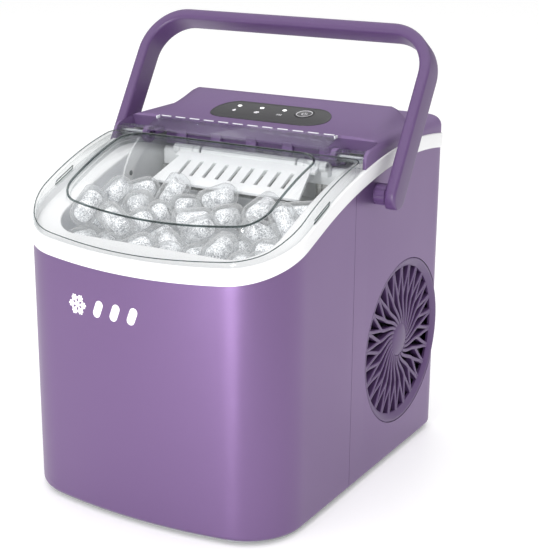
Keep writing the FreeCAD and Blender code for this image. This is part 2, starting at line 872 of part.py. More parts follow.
def ice_shovel():
    half = shovel_half_width
    t = shovel_thick
    base = [vec(-half + 8, -4.0, -t / 2), vec(half - 8, -4.0, -t / 2), vec(half, -shovel_length, -t / 2),
            vec(-half, -shovel_length, -t / 2), vec(-half + 8, -4.0, -t / 2)]
    plate = Part.Face(Part.makePolygon(base)).extrude(vec(0, 0, t))
    slots = []
    for index in range(slot_count):
        x = (index - (slot_count - 1) / 2.0) * slot_pitch
        slots.append(box(x - slot_width / 2, x + slot_width / 2, -shovel_length + 10.0, -14.0, -5.0, 5.0))
    plate = plate.cut(slots)
    eye = rod_x(eye_radius, eye_inner_x, eye_inner_x + eye_length, 0.0, 0.0)
    arm = box(eye_inner_x, eye_inner_x + eye_length, -10.0, 0.0, -t / 2, t / 2)
    body = join([plate] + both_sides(eye.fuse(arm)))
    body = body.cut(rod_x(shovel_pin_radius + 0.05, -far, far, 0.0, 0.0))
    return shovel_frame(body)


def shovel_pins():
    pin = rod_x(shovel_pin_radius, eye_inner_x - 6.0, eye_inner_x + eye_length + 6.0, shovel_y, shovel_z)
    return group(both_sides(pin))


def shovel_brackets():
    """Eyes that hold the shovel pins, standing on the evaporator cap."""
    blocks = []
    for x0 in (eye_inner_x - 6.0, eye_inner_x + eye_length + 0.5):
        eye = rod_x(eye_radius, x0, x0 + 5.5, shovel_y, shovel_z)
        strap = box(x0, x0 + 5.5, shovel_y, cap_front, shovel_z - 8.0, shovel_z + 2.0)
        blocks.append(eye.fuse(strap).cut(rod_x(shovel_pin_radius, 0.0, far, shovel_y, shovel_z)))
    return group([b for block in blocks for b in both_sides(block)])


def sensor_pair():
    """Ice level eyes on the two side walls of the tank."""
    y = hinge_y - sensor_ahead_of_hinge
    z = hinge_rim_height - sensor_below_rim
    return group(both_sides(rod_x(sensor_radius, tank_half - sensor_thick, tank_half, y, z)))


def water_probe():
    y = reservoir_back - probe_from_back
    rod = rod_z(probe_radius, tank_floor, tank_floor + probe_length, probe_half_gap, y)
    return group(both_sides(rod))


# ---- water ----
def water_pump():
    return box(pump_x - pump_half_width, pump_x + pump_half_width, pump_back - pump_length, pump_back,
               tank_floor, tank_floor + pump_height)


def pump_hose():
    """From the pump out behind the tank, up through the bay floor, over the end of the tray."""
    run_y = reservoir_back + tank_wall + foam_thick + 6.0
    side_x = -tank_half + tray_end_gap / 2.0
    drop_y = tray_y - 14.0
    over_z = tray_z + 9.5
    return tube([
        vec(pump_x, pump_back, tank_floor + pump_outlet),
        vec(pump_x, run_y, tank_floor + pump_outlet),
        vec(side_x, run_y, tank_floor + pump_outlet),
        vec(side_x, run_y, bay_floor - 18.0),
        vec(side_x, drop_y, bay_floor - 18.0),
        vec(side_x, drop_y, over_z),
        vec(side_x + 9.0, drop_y, over_z),
    ], tube_radius)


def drain_spout():
    pipe = rod_x(drain_radius, -half_w, -tank_half - tank_wall, drain_y, drain_z)
    return pipe.cut(rod_x(drain_bore, -half_w - 1.0, -tank_half, drain_y, drain_z))


def drain_plug():
    head = rod_x(drain_radius + 3.0, -half_w - 1.4, -half_w - 0.05, drain_y, drain_z)
    stem = rod_x(drain_bore - 0.1, -half_w - 0.05, -half_w + 7.0, drain_y, drain_z)
    return head.fuse(stem)


# ---- machine room ----
def vent_grille():
    """Round guard set flush in the side: ring, hub and curved ribs."""
    x1 = half_w
    x0 = half_w - vent_depth
    ring = rod_x(vent_ring_radius, x0, x1, vent_y, vent_height)
    ring = ring.cut(rod_x(vent_radius, 0, far, vent_y, vent_height))
    hub = rod_x(vent_hub_radius, x0, x1, vent_y, vent_height)
    ribs = []
    for index in range(vent_ribs):
        rib = curved_rib(vent_hub_radius - 1.5, vent_radius + 1.0)
        rib.rotate(vec(0, 0, 0), vec(1, 0, 0), 360.0 * index / vent_ribs)
        rib.translate(vec(x0 + 0.5, vent_y, vent_height))
        ribs.append(rib)
    return join([ring, hub] + ribs).common(body_prism(0.0, floor_z, high))


def curved_rib(inner, outer):
    """Bowed strip from the hub to the ring, in the YZ plane, extruded along X."""
    width = rib_width
    mid = (inner + outer) / 2.0
    edges = [
        Part.Arc(vec(0, inner, 0), vec(0, mid, rib_bow), vec(0, outer, 0)).toShape(),
        Part.makeLine(vec(0, outer, 0), vec(0, outer, width)),
        Part.Arc(vec(0, outer, width), vec(0, mid, rib_bow + width), vec(0, inner, width)).toShape(),
        Part.makeLine(vec(0, inner, width), vec(0, inner, 0)),
    ]
    return Part.Face(Part.Wire(edges)).extrude(vec(rib_depth, 0, 0))


fan_x1 = half_w - vent_depth - 6.0
fan_x0 = fan_x1 - fan_thick


def fan_blade():
    hub = rod_x(fan_hub_radius, fan_x0, fan_x1, vent_y, vent_height)
    blades = []
    for index in range(fan_blades):
        blade = box(-fan_thick / 2.0 + 2, fan_thick / 2.0 - 2, -0.9, 0.9, 10.0, fan_radius)
        blade.rotate(vec(0, 0, 0), vec(0, 0, 1), fan_pitch)
        blade = blade.common(rod_x(fan_radius, -20.0, 20.0, 0.0, 0.0))
        blade.rotate(vec(0, 0, 0), vec(1, 0, 0), 360.0 * index / fan_blades)
        blade.translate(vec((fan_x0 + fan_x1) / 2.0, vent_y, vent_height))
        blades.append(blade)
    bore = rod_x(2.05, fan_x0 - 1, fan_x0 + 10.0, vent_y, vent_height)
    return join([hub] + blades).cut(bore)


def fan_motor():
    x1 = fan_x0 - 2.0
    case = rod_x(motor_radius, x1 - motor_length, x1, vent_y, vent_height)
    shaft = rod_x(2.0, x1, fan_x0 + 9.5, vent_y, vent_height)
    return case.fuse(shaft)


def fan_shroud():
    """Square duct from the condenser to the vent, with three arms that hold the motor."""
    half = fan_radius + shroud_wall
    x0 = fan_x0 - motor_length - 2.0
    x1 = fan_x1 + 2.0
    duct = box(x0, x1, vent_y - half, vent_y + half, vent_height - half, vent_height + half)
    hole = rod_x(fan_radius + shroud_gap, x0 - 1, x1 + 1, vent_y, vent_height)
    arms = []
    motor_hole = rod_x(motor_radius, x0 - 1, x1 + 1, vent_y, vent_height)
    for index in range(3):
        arm = box(x0, x0 + 5.0, -4.0, 4.0, motor_radius - 2.0, fan_radius + 5.0)
        arm.rotate(vec(0, 0, 0), vec(1, 0, 0), 120.0 * index)
        arm.translate(vec(0, vent_y, vent_height))
        arms.append(arm)
    return join([duct.cut(hole)] + arms).cut(motor_hole)


def condenser():
    x1 = fan_x0 - motor_length - 3.0
    x0 = x1 - condenser_thick
    fins = []
    y0 = vent_y - condenser_length / 2.0
    z0 = vent_height - condenser_height / 2.0
    pitch = condenser_length / (fin_count - 1)
    for index in range(fin_count):
        y = y0 + pitch * index
        fins.append(box(x0, x1, y, y + fin_thick, z0, z0 + condenser_height))
    plates = [box(x0, x1, y0, y0 + condenser_length + fin_thick, z, z + 1.5)
              for z in (z0, z0 + condenser_height - 1.5)]
    return join(fins + plates)


def compressor():
    y = rear_y - compressor_from_rear
    low = floor_z + base_thick + grommet_height
    radius = compressor_radius
    can = rod_z(radius, low, low + compressor_height, compressor_x, y)
    can = can.makeFillet(12.0, [e for e in can.Edges if e.BoundBox.ZLength < 0.01])
    ledge = rod_z(radius + 2.5, low + 46.0, low + 49.0, compressor_x, y)
    foot = box(compressor_x - 44, compressor_x + 44, y - 34, y + 34, low - 2.5, low + 0.5)
    holes = [rod_z(4.0, low - 4.0, low + 2.0, compressor_x + sx * grommet_x, y + sy * grommet_y)
             for sx in (-1, 1) for sy in (-1, 1)]
    post = rod_z(12.0, low, low + 14.0, compressor_x, y)
    return join([can, ledge, foot, post]).cut(holes)


def compressor_grommets():
    y = rear_y - compressor_from_rear
    low = floor_z + base_thick
    parts = []
    for sx in (-1, 1):
        for sy in (-1, 1):
            x = compressor_x + sx * grommet_x
            body = rod_z(7.0, low, low + 5.5, x, y + sy * grommet_y)
            neck = rod_z(4.0, low + 5.5, low + 10.0, x, y + sy * grommet_y)
            parts.append(body.fuse(neck))
    return group(parts)


def tube(points, radius):
    """Straight runs with ball corners, one solid."""
    pieces = []
    for first, last in zip(points[:-1], points[1:]):
        run = last - first
        pieces.append(Part.makeCylinder(radius, run.Length, first, run))
    for point in points[1:-1]:
        pieces.append(Part.makeSphere(radius, point))
    return join(pieces)


def discharge_line():
    y = rear_y - compressor_from_rear
    top = floor_z + base_thick + grommet_height + compressor_height
    x_c = fan_x0 - motor_length - 3.0 - condenser_thick - 3.0
    return tube([
        vec(compressor_x + 14.0, y, top),
        vec(compressor_x + 14.0, y, top + 14.0),
        vec(x_c, y, top + 14.0),
        vec(x_c, y, vent_height + condenser_height / 2.0 - 20.0),
    ], 2.5)


def filter_drier():
    x = fan_x0 - motor_length - 3.0 - condenser_thick - 9.0
    y = vent_y - 38.0
    body = rod_z(8.0, 60.0, 110.0, x, y)
    necks = [rod_z(2.5, 44.0, 60.0, x, y), rod_z(1.5, 110.0, 126.0, x, y)]
    return join([body] + necks)


def suction_line():
    y = rear_y - compressor_from_rear
    top = floor_z + base_thick + grommet_height + compressor_height
    return tube([
        vec(compressor_x - 14.0, y, top),
        vec(compressor_x - 14.0, y, evap_low + evap_tube),
        vec(compressor_x - 14.0, bay_back + tank_wall + 4.0, evap_low + evap_tube),
    ], 3.0)


def main_board():
    face_y = rear_y - wall - board_stand
    board = box(board_left, board_right, face_y - board_thick, face_y, board_low, board_high)
    parts = [board]
    for x, height in ((-44.0, 12.0), (-18.0, 9.0), (8.0, 14.0)):
        parts.append(box(x, x + 16.0, face_y, face_y + height, board_low + 10.0, board_low + 34.0))
    return join(parts)


def board_standoffs():
    places = [(x, z) for x in (board_left + 6.0, board_right - 6.0)
              for z in (board_low + 4.0, board_high - 4.0)]
    face_y = rear_y - wall - board_stand
    return group([Part.makeCylinder(3.0, board_stand, vec(x, face_y, z), vec(0, 1, 0)) for x, z in places])


def power_inlet():
    y1 = rear_y - wall
    body = inlet_block(0.0, y1 - inlet_depth, rear_y)
    lip = inlet_block(3.0, y1 - 2.0, y1)
    socket = box(inlet_x - socket_half_width, inlet_x + socket_half_width, y1 - socket_depth, rear_y + 1,
                 inlet_z - socket_half_height, inlet_z + socket_half_height)
    pins = [box(inlet_x + dx - 1, inlet_x + dx + 1, y1 - socket_depth, y1 - 3.0, inlet_z - 2, inlet_z + 2)
            for dx in (-5.0, 0.0, 5.0)]
    return join([body.fuse(lip).cut(socket)] + pins)


NODES = [
    ("front_housing", lambda: front_housing().cut(drain_hole())),
    ("rear_housing", rear_housing),
    ("trim_ring", trim_ring),
    ("base_plate", base_plate),
    ("rubber_feet", rubber_feet),
    ("foot_screws", lambda: group(foot_screws())),
    ("top_cover", top_cover),
    ("control_panel", control_panel),
    ("power_button", power_button),
    ("status_lights", status_lights),
    ("display_board", display_board),
    ("lid", lid),
    ("lid_hinge_pin_right", lid_hinge_pin),
    ("lid_hinge_pin_left", lambda: mirrored(lid_hinge_pin())),
    ("carry_handle", carry_handle),
    ("handle_hub_right", handle_hub),
    ("handle_hub_left", lambda: mirrored(handle_hub())),
    ("handle_pin_right", handle_pin),
    ("handle_pin_left", lambda: mirrored(handle_pin())),
    ("inner_tank", inner_tank),
    ("foam_jacket", foam_jacket),
    ("ice_basket", ice_basket),
    ("water_tray", water_tray),
    ("tray_axles", tray_axles),
    ("tray_motor", tray_motor),
    ("freezing_fingers", freezing_fingers),
    ("evaporator", evaporator),
    ("evaporator_cover", evaporator_cover),
    ("ice_shovel", ice_shovel),
    ("shovel_pins", shovel_pins),
    ("shovel_brackets", shovel_brackets),
    ("ice_level_sensors", sensor_pair),
    ("water_probes", water_probe),
    ("water_pump", water_pump),
    ("pump_hose", pump_hose),
    ("drain_spout", drain_spout),
    ("drain_plug", drain_plug),
    ("vent_grille", vent_grille),
    ("fan_blade", fan_blade),
    ("fan_motor", fan_motor),
    ("fan_shroud", fan_shroud),
    ("condenser", condenser),
    ("compressor", compressor),
    ("compressor_grommets", compressor_grommets),
    ("discharge_line", discharge_line),
    ("suction_line", suction_line),
    ("filter_drier", filter_drier),
    ("main_board", main_board),
    ("board_standoffs", board_standoffs),
    ("power_inlet", power_inlet),
]

for node_name, make_node in NODES:
    save(node_name, make_node())
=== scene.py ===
import bpy
import bmesh
import math
import random
import numpy
from mathutils import Matrix, Vector


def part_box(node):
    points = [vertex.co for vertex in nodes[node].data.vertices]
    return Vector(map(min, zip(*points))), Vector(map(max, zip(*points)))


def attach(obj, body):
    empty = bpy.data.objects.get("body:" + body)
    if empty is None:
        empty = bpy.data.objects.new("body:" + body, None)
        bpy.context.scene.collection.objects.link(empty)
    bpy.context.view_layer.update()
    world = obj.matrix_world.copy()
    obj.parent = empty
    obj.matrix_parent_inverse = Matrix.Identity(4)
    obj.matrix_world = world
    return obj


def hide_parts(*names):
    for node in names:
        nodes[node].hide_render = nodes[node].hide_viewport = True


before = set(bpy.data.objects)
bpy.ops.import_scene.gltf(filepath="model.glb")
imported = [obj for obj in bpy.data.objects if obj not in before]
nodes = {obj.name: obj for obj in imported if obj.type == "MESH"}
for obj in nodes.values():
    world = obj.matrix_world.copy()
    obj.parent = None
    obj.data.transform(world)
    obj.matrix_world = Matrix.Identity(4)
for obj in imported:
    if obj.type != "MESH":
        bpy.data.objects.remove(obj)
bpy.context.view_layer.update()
mm = 0.001


# ---- camera, floor and studio light ----
# A long lens looks at the machine from its front right corner, a little above it.
# The floor is a pale paper sweep, and the light is large, white and soft.
camera_turn = math.radians(31.29)
camera_rise = math.radians(17.73)
camera_distance = 1.0822
camera_aim = Vector((0.0, 0.0, 0.140))
camera_data = bpy.data.cameras.new("camera")
camera_data.lens = 89.67
camera_data.sensor_width = 36.0
camera_data.shift_x = 0.0591
camera_data.shift_y = 0.0202
camera = bpy.data.objects.new("camera", camera_data)
to_camera = Vector((
    math.sin(camera_turn) * math.cos(camera_rise),
    -math.cos(camera_turn) * math.cos(camera_rise),
    math.sin(camera_rise),
))
camera.location = camera_aim + to_camera * camera_distance
camera.rotation_euler = (-to_camera).to_track_quat("-Z", "Y").to_euler()
bpy.context.scene.collection.objects.link(camera)
bpy.context.scene.camera = camera
bpy.context.scene.view_settings.view_transform = "Standard"


def linear(code):
    """Linear colour with alpha from an sRGB hex code."""
    channels = [int(code[index:index + 2], 16) / 255.0 for index in (1, 3, 5)]
    curve = [c / 12.92 if c <= 0.04045 else ((c + 0.055) / 1.055) ** 2.4 for c in channels]
    return (*curve, 1.0)


def add_node(tree, kind, settings=None, links=None, **options):
    """Adds a shader node, sets its options and sockets, and links its inputs to other sockets."""
    node = tree.nodes.new(kind)
    for name, value in options.items():
        setattr(node, name, value)
    for socket, value in (settings or {}).items():
        node.inputs[socket].default_value = value
    for socket, source in (links or {}).items():
        tree.links.new(source, node.inputs[socket])
    return node


def new_material(name):
    """A material with an empty node tree."""
    material = bpy.data.materials.new(name)
    material.use_nodes = True
    material.node_tree.nodes.clear()
    return material, material.node_tree


def paper_sweep():
    """Matt white paper: even, with a faint fibre grain."""
    material, tree = new_material("matt_white_paper")
    coords = add_node(tree, "ShaderNodeTexCoord")
    grain = add_node(tree, "ShaderNodeTexNoise", {"Scale": 400.0}, {"Vector": coords.outputs["Object"]})
    bump = add_node(tree, "ShaderNodeBump", {"Strength": 0.02, "Distance": mm},
                    {"Height": grain.outputs["Fac"]})
    shader = add_node(tree, "ShaderNodeBsdfPrincipled",
                      {"Base Color": linear("#FAFAFA"), "Roughness": 0.3,
                       "Emission Color": linear("#FFFFFF"), "Emission Strength": 0.13},
                      {"Normal": bump.outputs["Normal"]})
    add_node(tree, "ShaderNodeOutputMaterial", links={"Surface": shader.outputs["BSDF"]})
    return material


floor_mesh = bmesh.new()
bmesh.ops.create_grid(floor_mesh, x_segments=2, y_segments=2, size=40.0)
floor_data = bpy.data.meshes.new("floor")
floor_mesh.to_mesh(floor_data)
floor_mesh.free()
floor_data.materials.append(paper_sweep())
floor = bpy.data.objects.new("floor", floor_data)
bpy.context.scene.collection.objects.link(floor)

world = bpy.data.worlds.new("studio")
world.use_nodes = True
world.node_tree.nodes["Background"].inputs["Color"].default_value = linear("#FFFFFF")
world.node_tree.nodes["Background"].inputs["Strength"].default_value = 0.3
bpy.context.scene.world = world

sky_panel = bpy.data.lights.new("sky_panel", "SUN")
sky_panel.energy = 2.75
sky_panel.angle = math.radians(110)
sky_lamp = bpy.data.objects.new("sky_panel", sky_panel)
bpy.context.scene.collection.objects.link(sky_lamp)


def soft_box(name, place, aim, width, height, power):
    light = bpy.data.lights.new(name, "AREA")
    light.shape = "RECTANGLE"
    light.size = width
    light.size_y = height
    light.energy = power
    lamp = bpy.data.objects.new(name, light)
    lamp.location = place
    lamp.rotation_euler = (Vector(aim) - Vector(place)).to_track_quat("-Z", "Y").to_euler()
    bpy.context.scene.collection.objects.link(lamp)


soft_box("corner_strip", (0.14, -1.25, 0.30), (0.04, 0.0, 0.1), 0.11, 0.58, 9.5)
soft_box("left_panel", (-1.3, -0.7, 0.6), (0, 0, 0.1), 0.6, 1.0, 2.0)
soft_box("rear_panel", (1.2, 1.1, 0.8), (0, 0, 0.1), 0.9, 1.2, 3.0)


# ---- housing: front and rear shells ----
# Two injection moulded ABS shells with a pearly purple finish meet in a vertical seam on
# each side. The front is gently bulged with big corners; the rear corners are small.
housing_low, housing_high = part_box("front_housing")
half_width = housing_high.x
front_y = housing_low.y
rear_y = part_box("rear_housing")[1].y
shell_bottom = housing_low.z
seam_y = housing_high.y
seam_gap = 0.35 * mm
front_bulge = 15.7 * mm
front_corner = 46.0 * mm
rear_corner = 18.6 * mm
shell_wall = 2.5 * mm
bottom_round = 4.0 * mm
bulge_radius = (half_width ** 2 + front_bulge ** 2) / (2.0 * front_bulge)
bulge_centre = front_y + bulge_radius
corner_x = half_width - front_corner
corner_y = bulge_centre - math.sqrt((bulge_radius - front_corner) ** 2 - corner_x ** 2)
corner_turn = math.asin(corner_x / (bulge_radius - front_corner))
front_steps, corner_steps, side_steps, rear_steps, back_steps = 16, 16, 48, 12, 8


def body_outline(inset=0.0, back=rear_y, back_corner=rear_corner):
    """Plan of the body moved in by inset, anticlockwise from the front middle."""
    right = []
    for step in range(front_steps):
        turn = corner_turn * step / front_steps
        reach = bulge_radius - inset
        right.append((reach * math.sin(turn), bulge_centre - reach * math.cos(turn)))
    for step in range(corner_steps):
        turn = corner_turn + (math.pi / 2 - corner_turn) * step / corner_steps
        reach = front_corner - inset
        right.append((corner_x + reach * math.sin(turn), corner_y - reach * math.cos(turn)))
    half = half_width - inset
    reach = back_corner - inset
    corner_start = back - back_corner
    for step in range(side_steps):
        right.append((half, corner_y + (corner_start - corner_y) * step / side_steps))
    for step in range(rear_steps):
        turn = math.pi / 2 * step / rear_steps
        right.append((half_width - back_corner + reach * math.cos(turn),
                      corner_start + reach * math.sin(turn)))
    for step in range(back_steps + 1):
        right.append(((half_width - back_corner) * (1 - step / back_steps), back - inset))
    return right + [(-x, y) for x, y in reversed(right[1:-1])]


pin_low, pin_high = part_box("lid_hinge_pin_right")
hinge_y = (pin_low.y + pin_high.y) / 2
hinge_z = (pin_low.z + pin_high.z) / 2
front_rim = 189.5 * mm
bend_rim = 222.0 * mm
hinge_rim = hinge_z - 14.8 * mm
bend_y = hinge_y - 64.0 * mm
crest_rise = 7.0 * mm
bend_swell = 1.4 * mm


def arc_height(y, first, middle, last):
    """Height at y on the arc through three points of a side view."""
    (ay, az), (by, bz), (cy, cz) = first, middle, last
    d = 2 * (ay * (bz - cz) + by * (cz - az) + cy * (az - bz))
    first_square, middle_square, last_square = ay ** 2 + az ** 2, by ** 2 + bz ** 2, cy ** 2 + cz ** 2
    centre_y = (first_square * (bz - cz) + middle_square * (cz - az) + last_square * (az - bz)) / d
    centre_z = (first_square * (cy - by) + middle_square * (ay - cy) + last_square * (by - ay)) / d
    radius = math.hypot(ay - centre_y, az - centre_z)
    rise = math.sqrt(max(radius ** 2 - (y - centre_y) ** 2, 0.0))
    return centre_z + math.copysign(rise, bz - centre_z)


def rim_height(y):
    """Lower edge of the white band: a straight slope at the front that bends over to the back."""
    if y < bend_y:
        return front_rim + (y - front_y) * (bend_rim - front_rim) / (bend_y - front_y)
    if y < hinge_y:
        middle = ((bend_y + hinge_y) / 2, (bend_rim + hinge_rim) / 2 + bend_swell)
        return arc_height(y, (bend_y, bend_rim), middle, (hinge_y, hinge_rim))
    crest = ((hinge_y + rear_y) / 2, hinge_rim + crest_rise)
    return arc_height(min(y, rear_y), (hinge_y, hinge_rim), crest, (rear_y, hinge_rim))


def skin(sections, capped=True, ring=False):
    """Lays a grid over closed cross-sections that all have the same number of points."""
    rows = [list(section) + [section[0]] for section in sections]
    if ring:
        rows.append(rows[0])
    bm = bmesh.new()
    bmesh.ops.create_grid(bm, x_segments=len(rows[0]) - 1, y_segments=len(rows) - 1, size=1.0)
    for vert, point in zip(bm.verts, [point for row in rows for point in row]):
        vert.co = point
    bmesh.ops.remove_doubles(bm, verts=bm.verts, dist=0.001 * mm)
    if capped:
        bmesh.ops.holes_fill(bm, edges=bm.edges, sides=0)
    return bm


def piece(name, bm, material, body, replaced=(), sharp=32.0):
    """Makes a mesh a smooth shaded piece that rides on a body of the frame."""
    bmesh.ops.recalc_face_normals(bm, faces=bm.faces)
    mesh = bpy.data.meshes.new(name)
    bm.to_mesh(mesh)
    bm.free()
    mesh.materials.append(material)
    mesh.shade_smooth()
    mesh.set_sharp_from_angle(angle=math.radians(sharp))
    made = bpy.data.objects.new(name, mesh)
    bpy.context.scene.collection.objects.link(made)
    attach(made, body)
    if replaced:
        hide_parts(*replaced)
    return made


def carve(made, cutters, sharp=32.0):
    """Cuts closed cutter meshes out of a piece and keeps the result as its mesh."""
    tools = []
    for cutter in cutters:
        bmesh.ops.recalc_face_normals(cutter, faces=cutter.faces)
        mesh = bpy.data.meshes.new("cutter")
        cutter.to_mesh(mesh)
        cutter.free()
        tool = bpy.data.objects.new("cutter", mesh)
        bpy.context.scene.collection.objects.link(tool)
        tools.append(tool)
        modifier = made.modifiers.new("cut", "BOOLEAN")
        modifier.operation = "DIFFERENCE"
        modifier.solver = "EXACT"
        modifier.object = tool
    bpy.context.view_layer.update()
    carved = bpy.data.meshes.new_from_object(made.evaluated_get(bpy.context.evaluated_depsgraph_get()))
    made.modifiers.clear()
    uncut = made.data
    made.data = carved
    bpy.data.meshes.remove(uncut)
    for tool in tools:
        bpy.data.objects.remove(tool)
    carved.shade_smooth()
    carved.set_sharp_from_angle(angle=math.radians(sharp))


def rod(radius, first, last, steps=48, end_radius=None):
    """A closed cylinder or cone between two points."""
    first, last = Vector(first), Vector(last)
    bm = bmesh.new()
    turn = (last - first).to_track_quat("Z", "Y").to_matrix().to_4x4()
    bmesh.ops.create_cone(bm, cap_ends=True, segments=steps, radius1=radius,
                          radius2=radius if end_radius is None else end_radius,
                          depth=(last - first).length, matrix=Matrix.Translation((first + last) / 2) @ turn)
    return bm


def block(low, high, edge=0.0):
    """A closed box between two corners, with its edges rounded."""
    low, high = Vector(low), Vector(high)
    bm = bmesh.new()
    bmesh.ops.create_cube(bm, size=1.0, matrix=Matrix.Translation((low + high) / 2) @
                          Matrix.Diagonal((*(high - low), 1.0)))
    if edge:
        bmesh.ops.bevel(bm, geom=bm.edges[:], offset=edge, affect="EDGES", segments=3, profile=0.5,
                        material=-1)
    return bm


def together(parts):
    """One mesh of several separate ones."""
    whole = bmesh.new()
    for part in parts:
        mesh = bpy.data.meshes.new("part")
        part.to_mesh(mesh)
        part.free()
        whole.from_mesh(mesh)
        bpy.data.meshes.remove(mesh)
    return whole


def moulded_plastic(name, color, roughness, grain, depth, coat=0.0, metallic=0.0):
    """Injection moulded plastic: an eggshell grain and a gloss that varies a little over the part."""
    material, tree = new_material(name)
    coords = add_node(tree, "ShaderNodeTexCoord")
    fine = add_node(tree, "ShaderNodeTexNoise", {"Scale": 1.0 / grain, "Detail": 2.0},
                    {"Vector": coords.outputs["Object"]})
    broad = add_node(tree, "ShaderNodeTexNoise", {"Scale": 14.0, "Detail": 2.0},
                     {"Vector": coords.outputs["Object"]})
    gloss = add_node(tree, "ShaderNodeMapRange", {"To Min": roughness - 0.04, "To Max": roughness + 0.04},
                     {"Value": broad.outputs["Fac"]})
    base = linear(color)
    light = (*[min(channel * 1.08, 1.0) for channel in base[:3]], 1.0)
    tint = add_node(tree, "ShaderNodeMix", {6: base, 7: light}, {"Factor": fine.outputs["Fac"]},
                    data_type="RGBA")
    bump = add_node(tree, "ShaderNodeBump", {"Strength": 0.25, "Distance": depth},
                    {"Height": fine.outputs["Fac"]})
    shader = add_node(
        tree, "ShaderNodeBsdfPrincipled",
        {"IOR": 1.53, "Metallic": metallic, "Coat Weight": coat, "Coat Roughness": 0.2},
        {"Base Color": tint.outputs[2], "Roughness": gloss.outputs["Result"],
         "Normal": bump.outputs["Normal"]})
    add_node(tree, "ShaderNodeOutputMaterial", links={"Surface": shader.outputs["BSDF"]})
    return material


# Pearl purple ABS: the rounded corners catch a soft metallic glow.
pearl_purple = moulded_plastic("pearl_purple_abs", "#725A83", 0.4, 0.5 * mm, 0.02 * mm, coat=0.1,
                               metallic=0.75)


def housing_shell():
    """The whole shell as one closed skin: rounded bottom, outside, rim, inside."""
    sections = []
    for step in range(6):
        turn = math.pi / 2 * step / 5
        z = shell_bottom + bottom_round * (1 - math.cos(turn))
        sections.append([(x, y, z) for x, y in body_outline(bottom_round * (1 - math.sin(turn)))])
    for inset in (0.0, shell_wall):
        sections.append([(x, y, rim_height(y)) for x, y in body_outline(inset)])
    ledge = shell_bottom + 3.0 * mm
    sections.append([(x, y, ledge) for x, y in body_outline(shell_wall)])
    sections.append([(x, y, shell_bottom) for x, y in body_outline(bottom_round + mm)])
    return skin(sections, capped=False, ring=True)


def keep_side(bm, y, keep_front):
    """Cuts a closed skin with a plane across Y, keeps one side and closes the cut."""
    bmesh.ops.bisect_plane(bm, geom=bm.verts[:] + bm.edges[:] + bm.faces[:], plane_co=(0, y, 0),
                           plane_no=(0, 1, 0), clear_outer=keep_front, clear_inner=not keep_front)
    bmesh.ops.holes_fill(bm, edges=bm.edges, sides=0)
    return bm


vent_low, vent_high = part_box("vent_grille")
motor_low, motor_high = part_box("fan_motor")
vent_y = (motor_low.y + motor_high.y) / 2
vent_z = (motor_low.z + motor_high.z) / 2
vent_reach = (vent_high.z - vent_low.z) / 2
inlet_low, inlet_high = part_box("power_inlet")
slot_height = 4.0 * mm
intake_rows = 12
intake_low = 45.0 * mm
intake_pitch = 9.0 * mm
intake_half = 42.0 * mm
rear_rows = 6
rear_low = 120.0 * mm
rear_pitch = 10.0 * mm
rear_half = 45.0 * mm

piece("front_shell", keep_side(housing_shell(), seam_y - seam_gap / 2, True), pearl_purple,
      "root", ["front_housing"])
rear_shell = piece("rear_shell", keep_side(housing_shell(), seam_y + seam_gap / 2, False), pearl_purple,
                   "root", ["rear_housing"])
cutters = [
    rod(vent_reach, (half_width - 8 * mm, vent_y, vent_z), (half_width + 8 * mm, vent_y, vent_z), steps=128),
    block((inlet_low.x, rear_y - 8 * mm, inlet_low.z), (inlet_high.x, rear_y + 2 * mm, inlet_high.z)),
]
for row in range(intake_rows):
    z = intake_low + intake_pitch * row
    cutters.append(block((-half_width - 2 * mm, vent_y - intake_half, z),
                         (-half_width + 5 * mm, vent_y + intake_half, z + slot_height)))
for row in range(rear_rows):
    z = rear_low + rear_pitch * row
    cutters.append(block((-rear_half, rear_y - 5 * mm, z), (rear_half, rear_y + 2 * mm, z + slot_height)))
carve(rear_shell, cutters)


# ---- printed mark on the front ----
# A plain pad-printed pictogram in white ink: a snowflake and three ice bullets.
mark_x = -46.0 * mm
mark_z = 160.0 * mm
ink_proud = 0.12 * mm
snow_reach = 7.5 * mm


def front_surface(x):
    """Y of the bulged front face at x."""
    return bulge_centre - math.sqrt(bulge_radius ** 2 - x ** 2)


def stroke(first, last, width):
    """A flat bar with round ends between two points of the front view."""
    first, last = Vector(first), Vector(last)
    along = (last - first).angle_signed(Vector((1, 0))) if (last - first).length else 0.0
    outline = []
    for end, start in ((last, -0.5), (first, 0.5)):
        for step in range(9):
            turn = along + math.pi * (start + step / 8)
            outline.append((end.x + width / 2 * math.cos(turn), end.y + width / 2 * math.sin(turn)))
    return outline


def ink_sheet(outlines):
    """Thin raised sheets of ink that follow the front face."""
    sheets = []
    for outline in outlines:
        sections = [[(x, front_surface(x) - rise, z) for x, z in outline] for rise in (-0.05 * mm, ink_proud)]
        sheets.append(skin(sections))
    return together(sheets)


def snowflake(x, z, reach, width):
    """Six arms, each with two pairs of twigs."""
    bars = []
    for arm in range(6):
        way = Vector((math.cos(math.pi / 3 * arm), math.sin(math.pi / 3 * arm)))
        centre = Vector((x, z))
        bars.append(stroke(centre, centre + way * reach, width))
        for share, twig in ((0.5, 0.32), (0.75, 0.24)):
            root = centre + way * reach * share
            for side in (-1, 1):
                turned = Matrix.Rotation(side * math.pi / 3, 2) @ way
                bars.append(stroke(root, root + turned * reach * twig, width))
    return bars


# White pad-printing ink: opaque, satin, with a slightly uneven film.
white_ink = moulded_plastic("white_printing_ink", "#F4F2F6", 0.45, 0.3 * mm, 0.01 * mm)
marks = snowflake(mark_x, mark_z, snow_reach, 1.5 * mm)
for index in range(3):
    bullet_x = mark_x + (18.0 + 15.0 * index) * mm
    marks.append(stroke((bullet_x, mark_z - 3.2 * mm), (bullet_x + 2.5 * mm, mark_z + 3.2 * mm), 6.5 * mm))
piece("front_mark", ink_sheet(marks), white_ink, "root")


